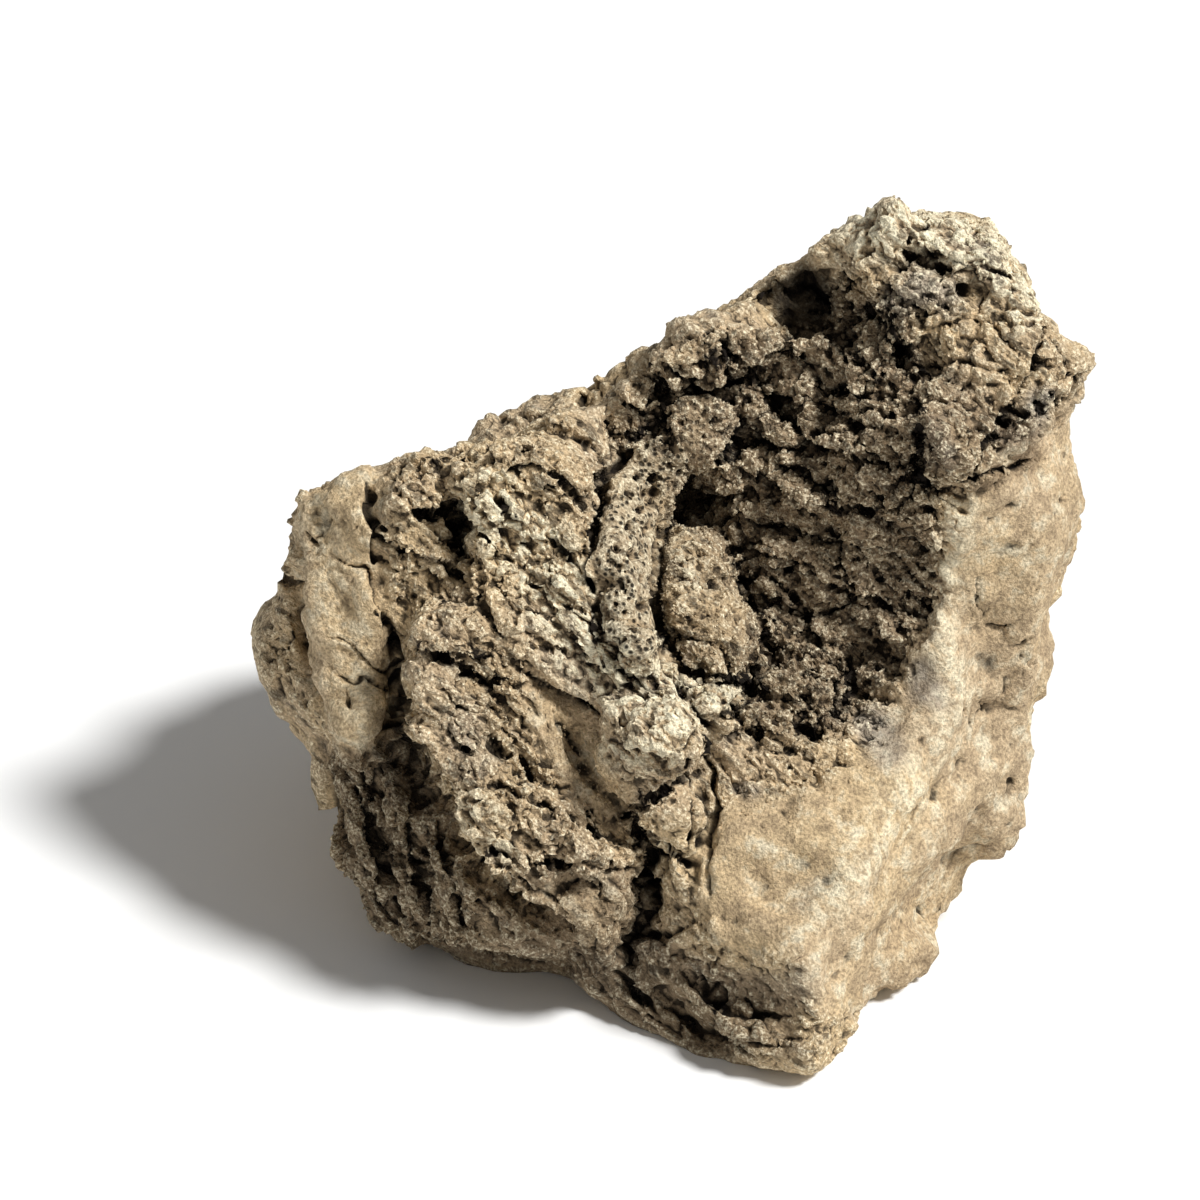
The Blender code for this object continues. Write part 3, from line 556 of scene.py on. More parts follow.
REGIONS = [
    Region(Texture.STRUCK, [
        (72, 38), (95, 55), (110, 40), (95, -40), (60, -90), (34, -84), (30, -74), (10, -70),
        (6, -52), (14, -42), (30, -38), (48, -28), (60, -10), (66, 12)]),
    Region(Texture.STRUCK, [
        (-89, 33), (-80, 38), (-73, 39), (-72, 15), (-69, 4), (-68, -14), (-71, -26), (-76, -30),
        (-84, -18), (-89, -4), (-90, 15)], 0.85),
    Region(Texture.STRUCK, [
        (-33, -12), (-24, -14), (-19, -28), (-13, -40), (-22, -38), (-29, -24)], 0.8),
    Region(Texture.STRUCK, [(-34, -58), (-14, -56), (-10, -70), (-18, -73), (-27, -68)], 0.4),
    Region(Texture.RUBBLE, [
        (-16, 50), (-8, 64), (4, 69), (24, 72), (40, 84), (55, 80), (57, 60), (60, 38), (61, 12),
        (51, -10), (38, -21), (22, -23), (12, -12), (2, -10), (-2, 5), (-4, 30), (-6, 44)]),
    Region(Texture.FLOW, [
        (-66, 40), (-30, 48), (-20, 40), (-19, 12), (-5, -8), (5, -20), (2, -33), (-8, -44),
        (-9, -66), (-18, -74), (-50, -46), (-62, -24), (-58, 6), (-66, 10)]),
    Region(Texture.FLOW, [
        (12, -22), (34, -24), (50, -16), (44, -30), (28, -36), (12, -40)], 0.6, 0.0, 8.0),
    Region(Texture.HOLEY, RIB_LINE, 1.0, 6.5, 3.0),
    Region(Texture.HOLEY, BOULDER_LINE, 0.32, 8.5, 3.0),
    Region(Texture.HOLEY, [(6, 50), (8, 52)], 0.6, 7.5, 3.0),
    Region(Texture.HOLEY, [(10, -14), (11, -14.5)], 0.5, 4.5, 2.0),
    Region(Texture.LAYERED, [
        (-84, -28), (-70, -27), (-60, -38), (-50, -50), (-48, -72), (-76, -75), (-82, -50)]),
    Region(Texture.LUMPY, [
        (40, 84), (57, 60), (57, 38), (70, 37), (85, 43), (92, 60), (86, 78), (72, 101), (50, 102)]),
    # Brown regions: brown stone, and painted shade on the hollow, the slab, the foot, the knob's flank
    # and other faces turned from the light.
    Region(Tint.BROWN, [
        (-12, 50), (-6, 62), (6, 66), (24, 70), (40, 80), (54, 76), (56, 58), (58, 38), (60, 14),
        (50, -8), (38, -19), (24, -20), (14, -8), (20, 6), (14, 20), (2, 27), (-2, 34), (0, 42)],
        1.0, 0.0, 5.0),
    Region(Tint.BROWN, [
        (-86, -28), (-70, -27), (-60, -38), (-48, -56), (-24, -74), (-20, -88), (-76, -78)],
        1.0, 0.0, 5.0),
    Region(Tint.BROWN, [
        (-22, -74), (-2, -70), (6, -78), (28, -84), (28, -98), (-8, -98), (-24, -84)], 1.0),
    Region(Tint.BROWN, [(-40, -58), (-16, -52), (-10, -58), (-10, -70), (-18, -74)], 0.85, 0.0, 4.0),
    Region(Tint.BROWN, [
        (80, -36), (66, -48), (46, -71), (44, -86), (60, -84), (84, -48)], 0.4, 0.0, 5.0),
    Region(Tint.BROWN, [(58, 60), (58, 38), (70, 36), (84, 42), (84, 52), (70, 56)], 1.0),
    Region(Tint.BROWN, [
        (-54, 4), (-44, 0), (-34, -10), (-24, -30), (-22, -48), (-40, -54), (-54, -24)], 0.4),
    Region(Tint.BROWN, [(70, 36), (98, 40), (100, 0), (90, -30), (74, -24), (68, 8)], 0.2),
    Region(Tint.BROWN, BOULDER_LINE, 0.55, 9.0, 4.0),
    Region(Tint.BROWN, RIB_LINE, 0.75, 6.5, 4.0),
    # Painted shade: these regions darken the recesses, the foot, the hollow and the pocket where shade
    # falls.
    Region(Tint.BLACK, [(-24, -76), (-10, -74), (-2, -74), (-6, -84), (-20, -84)], 0.45, 0.0, 4.0),
    Region(Tint.BLACK, [(-84, -30), (-62, -36), (-50, -60), (-74, -76)], 0.26, 0.0, 5.0),
    Region(Tint.BLACK, [
        (-26, -76), (-2, -78), (6, -84), (20, -90), (20, -98), (-8, -98)], 0.22, 0.0, 5.0),
    Region(Tint.BLACK, [(-76, -74), (-50, -66), (-28, -76), (-40, -88), (-70, -88)], 0.25, 0.0, 4.0),
    Region(Tint.BLACK, [(-40, -58), (-12, -56), (-10, -68), (-20, -73)], 0.16, 0.0, 4.0),
    Region(Tint.BLACK, [(14, -4), (40, 4), (56, 20), (50, -8), (38, -19), (24, -20)], 0.12, 0.0, 8.0),
    Region(Tint.BLACK, [(23, 84), (28, 88), (36, 87), (38, 81), (33, 77), (26, 76)], 0.9, 0.0, 3.0),
    Region(Tint.BLACK, [(-70, -20), (-64, -26), (-57, -38), (-62, -42), (-70, -30)], 0.6, 0.0, 4.0),
    # Cream regions: pale crust, and painted highlights on lit crests, tops and edges.
    Region(Tint.CREAM, RIB_LINE, 0.3, 6.5, 4.0),
    Region(Tint.CREAM, [(1, 21), (4, 13)], 0.5, 2.5, 6.0),
    Region(Tint.CREAM, [(-86, 26), (-80, 12), (-80, 0), (-76, -16)], 0.4, 4.0, 8.0),
    Region(Tint.CREAM, [(46, 96), (60, 97), (72, 93), (80, 80)], 0.95, 7.0, 9.0),
    Region(Tint.CREAM, [(-44, 32), (-32, 20), (-24, 4), (-12, -10), (-2, -16)], 0.95, 8.0, 10.0),
    Region(Tint.CREAM, [(8, -13), (11, -14)], 0.9, 3.5, 3.0),
    Region(Tint.CREAM, [(-14, -27), (-8, -26), (-2, -27)], 0.8, 3.0, 5.0),
    Region(Tint.CREAM, [(-48, -40), (-40, -49)], 0.5, 4.0, 7.0),
    Region(Tint.CREAM, [(67, 30), (64, 8), (66, -12), (62, -27), (50, -45), (34, -66)], 0.7, 3.0, 9.0),
    Region(Tint.GREY, [(60, -8), (61, -14)], 0.8, 3.5, 5.0),
    Region(Tint.GREY, [(47, -21), (51, -27)], 0.7, 4.5, 5.0),
    Region(Tint.GREY, [(14, -37), (18, -37)], 0.7, 1.5, 3.0),
    Region(Tint.GREY, [(30, -62), (36, -58)], 0.4, 1.5, 4.0),
    Region(Tint.GREY, [(60, 50), (62, 44)], 0.9, 4.0, 5.0),
    Region(Tint.GREY, [(76, 48), (82, 50), (86, 57)], 0.8, 4.0, 5.0),
    Region(Tint.GREY, [(52, 80), (58, 84), (62, 82)], 0.7, 4.0, 6.0),
    Region(Tint.GREY, [(68, 95), (74, 90), (76, 84)], 0.5, 3.0, 6.0),
    Region(Tint.GREY, [(-22, -8), (-30, -4), (-14, -14)], 0.3, 3.0, 6.0),
    Region(Tint.GREY, [(-50, -18), (-46, -30)], 0.4, 4.0, 8.0),
    Region(Tint.GREY, [(6, -80), (18, -84), (28, -82)], 0.5, 4.0, 8.0),
    Region(Tint.SAND, [(-30, -16), (-24, -26), (-17, -36)], 0.9, 4.0, 5.0),
    Region(Tint.SAND, [(-62, 24), (-60, 12), (-66, 2)], 0.8, 4.0, 6.0),
    Region(Tint.SAND, [(-80, 32), (-79, 12), (-77, -4), (-74, -18)], 1.0, 8.0, 5.0),
    Region(Tint.SAND, [(-14, -66), (-24, -62)], 0.7, 6.0, 6.0),
    Region(Tint.SAND, [(20, -45), (34, -40), (28, -58)], 0.6, 12.0, 12.0),
]

GROOVES = {
    "long crack": Groove(0.75, 4.0, [(3, -15), (6, -20), (7, -27), (9, -35), (10, -40), (8, -46)]),
    "end of the long crack": Groove(0.7, 2.2, [(8, -46), (7, -54), (8, -61)]),
    "side crack": Groove(0.6, 2.0, [(5, -20), (2, -26), (3, -33)]),
    "over the wedge": Groove(1.1, 4.0, [(-13, -42), (-8, -38), (-2, -35), (3, -32)]),
    "left of the wedge": Groove(1.3, 4.0, [(-11, -41), (-8, -46), (-2, -50), (3, -53)]),
    "right of the wedge": Groove(0.6, 1.8, [(3, -33), (4, -42), (3, -50)]),
    "under the prow's ledge": Groove(1.8, 3.5, [(1, -50), (4, -53), (5, -57)]),
    "beside the lower ridge": Groove(1.9, 4.8, [
        (-9, -44), (-6, -51), (-8, -57), (-6, -63), (-8, -68)]),
    "foot of the prow": Groove(1.4, 2.2, [(-8, -71), (-2, -70), (3, -68)]),
    "first layer of the foot": Groove(1.1, 2.2, [(1, -79), (8, -86), (16, -89), (27, -89)]),
    "second layer of the foot": Groove(1.1, 2.2, [(-2, -88), (6, -94), (16, -96), (27, -96)]),
    "third layer of the foot": Groove(1.3, 2.5, [(-12, -88), (-4, -95), (4, -100)]),
    "gap at the left of the foot": Groove(1.3, 2.2, [(-14, -80), (-10, -84), (-4, -90)]),
    "under the small lump of the foot": Groove(0.8, 1.8, [(4, -78), (8, -84), (12, -81)]),
    "shoulder groove": Groove(1.1, 3.0, [(-73.5, 38), (-73, 31), (-72, 25), (-72, 18)]),
    "shoulder crack": Groove(0.9, 3.0, [(-72, 25), (-69, 23), (-65, 21)]),
    "arc on the shoulder": Groove(0.55, 1.8, [(-80, 19), (-74, 17), (-72, 12), (-70, 5)]),
    "second arc": Groove(0.6, 1.8, [(-84, 1), (-78, -1), (-73, -7), (-69, -8), (-67, -3)]),
    "edge of the shoulder": Groove(1.2, 3.0, [(-70, 6), (-67.5, 0), (-66.5, -6), (-69, -14)]),
    "hole under the shoulder": Groove(1.1, 2.2, [(-79, -12), (-78, -16)]),
    "cheek crease": Groove(0.8, 1.6, [(-82, -8), (-78, -10), (-74, -9), (-70, -12)]),
    "left notch": Groove(0.9, 1.6, [(-89, 26), (-86, 22)]),
    "edge crevice": Groove(2.6, 7.0, [(-91, 28), (-91.5, 14), (-91, 0), (-88, -12), (-82, -24)]),
    "brow pit": Groove(1.2, 2.5, [(-67, 36), (-65, 34.5)]),
    "brow gap": Groove(1.3, 3.5, [(-62, 31), (-58, 29), (-55, 31)]),
    "notch by the long ridge": Groove(2.6, 6.0, [(-57, 33), (-53, 29), (-52, 21)]),
    "upper hole": Groove(1.5, 3.0, [(-50, 42.5), (-47, 41.5)]),
    "brow crease": Groove(1.1, 3.0, [(-36, 46), (-35, 43)]),
    "undercut of the brow": Groove(1.4, 3.5, [(-40, 40), (-35, 41), (-29, 39), (-24, 34), (-21, 30)]),
    "ridge crack": Groove(1.2, 3.0, [(-42, 34), (-39, 30), (-36, 26)]),
    "long ridge crack": Groove(0.9, 2.6, [(-31, 25), (-26, 20), (-22, 16)]),
    "short ridge crack": Groove(0.9, 2.2, [(-36, 14), (-31, 11)]),
    "low ridge crack": Groove(0.8, 2.0, [(-28, 10), (-20, 3), (-13, -3)]),
    "second low ridge crack": Groove(0.8, 2.0, [(-20, 2), (-12, -8), (-4, -13)]),
    "behind the block": Groove(1.6, 4.5, [(-47, 18), (-47, 10), (-44, 4), (-40, 0)]),
    "under the block": Groove(1.1, 3.0, [(-61, -2), (-56, -4), (-50, -3.5), (-44, -4)]),
    "valley wall": Groove(1.8, 4.0, [
        (-42, -2), (-34, -9), (-26, -13), (-20, -18), (-19, -26), (-17, -34)]),
    "valley crack": Groove(0.6, 1.8, [(-28, -20), (-25, -24), (-23, -28)]),
    "second valley crack": Groove(0.5, 1.4, [(-31, -17), (-30, -22)]),
    "lower ridge crack": Groove(1.0, 2.6, [(-54, -12), (-51, -16), (-46, -17)]),
    "lower ridge gap": Groove(1.2, 2.6, [(-54, -20), (-52, -25), (-48, -27)]),
    "lower ridge pit": Groove(1.5, 3.0, [(-37, -27), (-35, -31), (-33, -35)]),
    "lower ridge crease": Groove(0.8, 2.0, [(-50, -35), (-42, -34), (-33, -38), (-27, -41)]),
    "streak of the lower ridge": Groove(0.7, 2.0, [(-21, -41), (-20, -45), (-18, -49)]),
    "second streak": Groove(0.7, 1.6, [(-40, -10), (-36, -14), (-33, -18)]),
    "third streak": Groove(0.8, 1.8, [(-47, -8), (-42, -14), (-37, -19), (-33, -25)]),
    "slab crack": Groove(0.5, 1.4, [(-19, -50), (-22, -55), (-18, -58), (-19, -63)]),
    "slab crease": Groove(0.9, 1.8, [(-34, -53), (-24, -53), (-16, -55), (-9, -54)]),
    "recess": Groove(4.6, 9.5, [(-67, -10), (-67, -24), (-60, -35), (-53, -48)], 1.4),
    "recess under the ridge": Groove(3.0, 7.0, [(-53, -48), (-45, -58), (-35, -63), (-26, -71)], 1.2),
    "first corner gap": Groove(1.8, 4.5, [(-75, -32), (-73, -46), (-68, -60), (-66, -72)], 1.2),
    "second corner gap": Groove(1.5, 4.0, [(-64, -40), (-63, -52), (-60, -62), (-59, -72)], 1.2),
    "third corner gap": Groove(1.0, 2.5, [(-57, -44), (-54, -56), (-51, -68)], 1.0),
    "under the top ledge": Groove(1.8, 4.5, [(-9, 63), (0, 62), (6, 60), (13, 57), (15, 53)]),
    "beside the top ledge": Groove(1.2, 3.5, [(2, 72), (8, 69), (12, 66), (12, 60)]),
    "left of the block": Groove(1.4, 4.0, [(-14, 49), (-6, 49.5), (-2.5, 54), (-2, 60)]),
    "right of the round lump": Groove(1.3, 3.5, [(16, 53), (14, 47), (10, 42)]),
    "left of the round lump": Groove(1.3, 2.4, [(-2, 56), (-2, 49), (0, 44)]),
    "left of the rib": Groove(1.8, 5.0, [
        (-9, 46), (-17, 37), (-20, 25), (-19.5, 12), (-15, 0), (-9, -6)]),
    "right of the rib": Groove(1.1, 2.6, [(-3, 31), (-4, 22), (-5, 12), (-4, 2), (1, -6)]),
    "under the boulder": Groove(1.2, 2.2, [(1, -6), (6, -9), (14, -9.5), (20, -6)]),
    "right of the boulder": Groove(1.1, 1.6, [(14, 20), (18, 10), (22, 2)]),
    "cave": Groove(3.6, 9.0, [(1, 28), (4, 34), (8, 34)], 1.0),
    "cave's right end": Groove(1.8, 5.0, [(9, 34), (14, 34), (19, 35)]),
    "under the small lump": Groove(1.2, 4.0, [(10, -18), (13, -17), (15, -13)]),
    "upper fold": Groove(1.5, 4.0, [(23, 55), (29, 51), (37, 49)]),
    "lower fold": Groove(1.5, 4.5, [(22, 47), (29, 45), (38, 45), (46, 42)]),
    "gap in the hollow": Groove(1.6, 4.5, [(19, 28), (25, 27), (33, 24), (37, 22)]),
    "pit in the hollow": Groove(2.2, 4.5, [(26, 5), (31, 4)]),
    "second gap in the hollow": Groove(1.3, 3.5, [(36, 38), (36, 33), (40, 31), (48, 31)]),
    "third gap in the hollow": Groove(1.6, 4.0, [(53, 24), (57, 21), (62, 21)]),
    "fourth gap in the hollow": Groove(1.5, 4.0, [(40, 8), (46, 9), (52, 5)]),
    "fifth gap in the hollow": Groove(1.4, 3.5, [(42, -4), (42, -12), (39, -18)]),
    "wall of the hollow": Groove(1.2, 3.0, [(57, 55), (57, 46), (57, 38), (62, 35)]),
    "pocket": Groove(4.2, 7.0, [(26, 83), (32, 84), (35, 80)], 1.2),
    "pocket's lower end": Groove(1.6, 3.5, [(24, 78), (31, 75), (38, 77)]),
    "crease of the flank": Groove(1.2, 3.0, [(45, 80), (51, 74), (53, 66), (56, 62)]),
    "second crease of the flank": Groove(1.2, 3.0, [(40, 74), (44, 66), (48, 60)]),
    "pit of the knob": Groove(1.7, 4.5, [(53, 92), (57, 90), (63, 87)]),
    "second pit of the knob": Groove(1.3, 3.0, [(66, 85), (69, 81)]),
    "split of the knob": Groove(0.8, 3.5, [(87, 74), (85, 67), (83, 62), (80, 57)]),
    "lower split of the knob": Groove(0.8, 3.0, [(79, 55), (76, 52), (74, 48), (71, 45), (70, 38)]),
    "cross split of the knob": Groove(0.6, 2.0, [(74, 48), (70, 50), (67, 48)]),
    "low split of the knob": Groove(0.9, 2.5, [(66, 38), (72, 39), (80, 41), (84, 43)]),
    "under the beak": Groove(1.4, 3.0, [(84, 56), (88, 54), (92, 58)]),
    "slit of the side": Groove(0.7, 2.0, [(75, 3.5), (80, 3)]),
    "second slit of the side": Groove(0.8, 2.0, [(84, -6), (88, -6)]),
    "dark slit at the foot": Groove(0.9, 2.5, [(59, -65), (61.5, -68.5)]),
    "scar of the side": Groove(0.7, 1.2, [(72, 15), (72, 9), (74, 5)]),
}

CRESTS = {
    "edge of the prow": Crest(11.0, 3.0, [
        (70, 37), (67, 25), (64, 10), (63, 0), (66, -12), (62, -27), (50, -45), (42, -57), (33, -68),
        (32, -80), (32, -95)]),
    "second edge": Crest(8.0, 2.6, [
        (77, -30), (71, -35), (66, -45), (55, -58), (45, -68), (43, -80), (40, -92)]),
    "brink of the hollow": Crest(6.0, 1.2, [(64, 5), (52, -12), (40, -22), (25, -28), (12, -25)]),
    "crest of the long ridge": Crest(5.0, 1.6, [(-44, 34), (-31, 22), (-22, 8), (-11, -8), (0, -18)]),
    "brow of the slab": Crest(5.0, 1.8, [(-50, -44), (-40, -50), (-28, -52), (-12, -50)]),
    "crest of the lower ridge": Crest(5.0, 1.4, [
        (-56, -6), (-50, -24), (-46, -40), (-34, -56), (-20, -68)]),
}

LEDGES = {
    "rib": Ledge([
        (-10, 44), (-16, 35), (-19, 25), (-19, 14), (-16, 3), (-10, -3), (-5, 0), (-6, 10), (-6, 20),
        (-4, 28), (-2, 36), (2, 44), (-3, 48)], 2.6, 1.5),
    "boulder": Ledge([
        (-3, 24), (4, 25), (10, 20), (15, 12), (20, 4), (21, -4), (14, -8), (5, -7), (0, -2), (-3, 8)],
        0.5, 4.0),
    "round lump": Ledge([(-1, 50), (2, 57), (8, 59), (14, 55), (15, 48), (11, 43), (4, 43)], 2.0, 1.5),
    "long ridge": Ledge([
        (-47, 37), (-34, 46), (-23, 42), (-19, 22), (-17, 6), (-4, -8), (4, -19), (2, -24), (-9, -23),
        (-22, -12), (-33, -7), (-42, 0), (-47, 9), (-47, 22)], 2.8, 1.8, 16.0),
    "end of the long ridge": Ledge([
        (-17, -19), (-8, -16), (4, -20), (3, -30), (-9, -38), (-17, -33)], 2.2),
    "lower ridge": Ledge([
        (-57, 7), (-48, 7), (-42, -4), (-36, -8), (-30, -20), (-26, -30), (-19, -37), (-11, -44),
        (-9, -53), (-9, -66), (-17, -73), (-30, -65), (-41, -56), (-48, -46), (-49, -38), (-55, -31),
        (-62, -23), (-59, -14), (-60, -7)], 2.8, 1.8, 20.0),
    "block of the lower ridge": Ledge([
        (-58, 6), (-50, 8), (-45, 5), (-44, 0), (-50, -3), (-58, -3)], 1.8),
    "nose of the lower ridge": Ledge([
        (-50, -37), (-40, -35), (-28, -42), (-18, -50), (-20, -54), (-32, -57), (-44, -52), (-50, -45)],
        1.8, 1.4),
    "wedge": Ledge([(-10, -41), (3, -33), (4, -42), (3, -50), (-4, -48)], 1.8, 1.2),
    "shoulder": Ledge([
        (-89, 33), (-80, 38), (-74, 39), (-73, 28), (-73, 15), (-70, 4), (-69, -4), (-70, -14),
        (-72, -26), (-78, -28), (-84, -18), (-88, -4), (-90, 15)], 2.0, 1.6, 14.0),
    "lower half of the shoulder": Ledge([
        (-80, 18), (-74, 16), (-71, 10), (-70, 4), (-73, -7), (-78, -1), (-84, 1), (-88, 6), (-87, 14)],
        1.0, 1.4),
    "top ledge": Ledge([(-8, 63), (4, 71), (20, 74), (26, 71), (16, 66), (2, 61)], 2.6, 1.4),
    "brow of the knob": Ledge([
        (57, 60), (57, 40), (66, 37), (76, 39), (84, 43), (87, 52), (80, 60), (68, 64)], 1.8, 1.6),
    "brow over the left valley": Ledge([
        (-68, 40), (-50, 44), (-36, 46), (-38, 40), (-50, 36), (-58, 32), (-66, 32)], 1.8, 1.6),
    "ledge of the prow": Ledge([
        (5, -50), (-4, -56), (0, -66), (5, -72), (16, -76), (30, -79), (34, -72), (22, -66), (12, -58)],
        0.8, 3.0, 8.0),
    "face at the right foot": Ledge([
        (80, -36), (72, -40), (67, -48), (56, -61), (46, -71), (44, -86), (60, -84), (74, -60),
        (88, -44)],
        -2.6, 2.4),
    "tan ledge at the foot": Ledge([
        (-50, -58), (-38, -62), (-26, -74), (-40, -74), (-50, -71)], 2.0, 1.4),
}

SPOTS = {
    "round lump": Spot(6.5, 51, 8.0, 1.5),
    "clod beside the cave": Spot(14, 40, 5.5, 2.0),
    "boulder": Spot(7.0, 10, 17.0, 4.5, 0.66, -60),
    "top of the boulder": Spot(3.5, 17, 6.0, 1.2, 0.9, -60),
    "left of the boulder": Spot(0, 6, 5.0, 2.5, 0.8, 80),
    "foot of the boulder": Spot(11, 1, 8.5, 2.0),
    "small lump": Spot(9.5, -13.5, 4.2, 3.0),
    "big hole of the rib": Spot(-7.5, 34, 2.6, -3.0, 0.8, -50),
    "low hole of the rib": Spot(-15, 14, 3.2, -3.2, 0.7, 60),
    "rib hole 1": Spot(-10.5, 27.5, 1.1, -2.6),
    "rib hole 2": Spot(-6.8, 26.3, 1.2, -2.6, 0.7, 80),
    "rib hole 3": Spot(-10, 20.3, 1.5, -2.8, 0.8, -40),
    "rib hole 4": Spot(-7.5, 14.8, 1.3, -2.8, 0.7, 80),
    "rib hole 5": Spot(-12, 12, 1.1, -2.4),
    "rib hole 6": Spot(-8, 7.8, 1.1, -2.4),
    "rib hole 7": Spot(-5.2, 35, 1.2, -2.2),
    "rib hole 8": Spot(-11.5, 36, 1.1, -2.0),
    "rib hole 9": Spot(-14, 22, 1.2, -2.2),
    "rib hole 10": Spot(-8.5, 31, 0.9, -2.0),
    "block over the rib": Spot(-6, 54, 4.5, 2.5),
    "block beside it": Spot(-12, 57, 3.5, 2.0),
    "ledge": Spot(10, 74, 6.5, 2.5, 0.5, 0),
    "ledge's left lump": Spot(3, 72, 3.5, 2.0),
    "lump of the flank": Spot(60, 47, 5.0, 2.0, 0.8, 80),
    "lump of the split": Spot(80, 49, 4.5, 2.0),
    "lump by the split": Spot(87, 58, 3.5, 1.5, 0.7, 20),
    "lump by the pit": Spot(73, 88, 5.0, 2.0, 0.7, 120),
    "knob boss": Spot(57, 80, 5.0, 1.5),
    "second knob boss": Spot(48, 84, 4.0, 1.5),
    "tip": Spot(51, 101, 2.6, 2.0),
    "shoulder cheek": Spot(-73, -17, 5.5, 2.2),
    "lump at the brow": Spot(-58, 34, 3.5, 2.0),
    "second lump at the brow": Spot(-52, 36, 3.5, 1.5),
    "brow of the long ridge": Spot(-27, 44, 6.0, 2.0, 0.7, -20),
    "crest lump": Spot(-38, 30, 5.0, 1.8, 0.6, -45),
    "second crest lump": Spot(-30, 14, 5.0, 1.5, 0.6, -45),
    "end of the ridge": Spot(-7, -26, 7.5, 1.8, 0.6, 10),
    "block of the lower ridge": Spot(-52, 5, 5.0, 2.2, 0.7, -10),
    "next block": Spot(-60, -9, 4.0, 2.0),
    "tip of the lower ridge": Spot(-62, -22, 3.5, 2.0, 0.7, -30),
    "nose of the lower ridge": Spot(-46, -43, 5.0, 2.0, 0.8, -40),
    "small lump of the foot": Spot(8, -80, 3.2, 2.4),
    "block of the foot": Spot(-18, -80, 4.5, 2.0),
    "lower end of the slab": Spot(-20, -67, 13.0, -4.0, 0.6, -30),
    "left under the prow": Spot(-8, -84, 9.0, -1.5, 0.7, -40),
    "filled corner at the foot": Spot(-11, -75, 5.0, 3.5),
    "lump of the right foot": Spot(79, -46, 10.0, 8.0, 0.8, -60),
    "lower lump of the right foot": Spot(58, -77, 10.0, 6.0, 0.8, -60),
    "pit of the side": Spot(93, 33.5, 1.3, -2.0),
    "pit 2 of the side": Spot(79, 31.5, 1.3, -1.6, 0.5, 20),
    "pit 3 of the side": Spot(74, -5, 2.2, -1.2),
    "pit 4 of the side": Spot(73, -16, 1.4, -1.3),
    "pit 5 of the side": Spot(82, -35, 1.6, -1.8, 0.6, -40),
    "pit 6 of the side": Spot(62, -37.5, 1.2, -1.4),
    "pit 7 of the side": Spot(58.5, -24, 1.0, -1.4),
    "pit 8 of the side": Spot(77, -28, 1.8, -1.2),
    "pit of the prow": Spot(35, -57, 1.5, -1.0),
    "pit under the hollow": Spot(33, -23, 1.8, -2.2, 0.5, -20),
}


def read_values(items: bpy.types.bpy_prop_collection, name: str, width: int = 1) -> np.ndarray:
    """The values that a mesh keeps for its vertices, edges or triangles.

    Args:
        items: The vertices, edges, triangles or stored values.
        name: Which of their values are read.
        width: How many numbers each of them has.

    Returns:
        One number or one row of them for each item.
    """
    kind = np.int32 if name == "vertices" else float
    values = np.zeros(len(items) * width, kind)
    items.foreach_get(name, values)
    return values.reshape(-1, width) if width > 1 else values


def mesh_arrays(mesh: bmesh.types.BMesh) -> tuple[np.ndarray, np.ndarray, np.ndarray]:
    """The places, vertex normals and edges of a mesh.

    Args:
        mesh: The mesh to read.

    Returns:
        Vertex places, vertex normals, and the two vertices of each edge.
    """
    mesh.normal_update()
    data = bpy.data.meshes.new("reading")
    mesh.to_mesh(data)
    places, normals = read_values(data.vertices, "co", 3), read_values(data.vertices, "normal", 3)
    edges = read_values(data.edges, "vertices", 2)
    bpy.data.meshes.remove(data)
    return places, normals, edges


def move_vertices(mesh: bmesh.types.BMesh, places: np.ndarray) -> None:
    """Moves every vertex of a mesh to its new place."""
    for vertex, place in zip(mesh.verts, places.tolist()):
        vertex.co = place


def even_out(values: np.ndarray, edges: np.ndarray, times: int) -> np.ndarray:
    """Averages values with those of the neighbouring vertices.

    Args:
        values: One row for each vertex.
        edges: The two vertices of each edge.
        times: How often it is repeated.

    Returns:
        The averaged values.
    """
    count = np.bincount(edges.ravel(), minlength=len(values))[:, None]
    for _ in range(times):
        total = np.column_stack([
            np.bincount(edges[:, 0], values[edges[:, 1], axis], len(values))
            + np.bincount(edges[:, 1], values[edges[:, 0], axis], len(values))
            for axis in range(values.shape[1])
        ])
        values = 0.5 * values + 0.5 * total / count
    return values


@dataclass
class FaceReading:
    """What the broken face asks for at each vertex: the weights of its textures and tints.

    Attributes:
        places: Millimetres across, up and out of the face.
        front: 1 on the broken face and 0 on the back.
        weights: The weight of each texture and tint.
    """

    places: np.ndarray
    front: np.ndarray
    weights: dict[Texture | Tint, np.ndarray] = field(default_factory=dict)

    @classmethod
    def of(
        cls, row_places: np.ndarray, normals: np.ndarray, kinds: tuple = (*Texture, *Tint)
    ) -> "FaceReading":
        """Reads the face at vertices.

        Args:
            row_places: The vertices in the row frame.
            normals: The way that the surface faces there.
            kinds: The textures and tints that are wanted. The others are left at 0.

        Returns:
            The reading.
        """
        places = FACE.to_face(row_places)
        facing = normals @ FACE.axes()[2]
        front = smooth_step(facing, -0.25, 0.05) * smooth_step(places[:, 2], -52.0, -40.0)
        reading = cls(places, front)
        across = places[:, 0] + 2.2 * swell(places, 9.0, 61) + 1.0 * swell(places, 3.5, 62)
        up = places[:, 1] + 2.2 * swell(places, 9.0, 63) + 1.0 * swell(places, 3.5, 64)
        for kind in (*Texture, *Tint):
            reading.weights[kind] = np.zeros(len(places))
        for region in (region for region in REGIONS if region.kind in kinds):
            weight = region.weight(across, up) * front
            reading.weights[region.kind] = np.maximum(reading.weights[region.kind], weight)
        holey = reading.weights[Texture.HOLEY]
        for kind in (Texture.RUBBLE, Texture.FLOW, Texture.LUMPY):
            reading.weights[kind] *= 1.0 - np.clip(holey * 1.6, 0.0, 1.0)
        reading.weights[Texture.FLOW] *= 1.0 - reading.weights[Texture.STRUCK]
        return reading


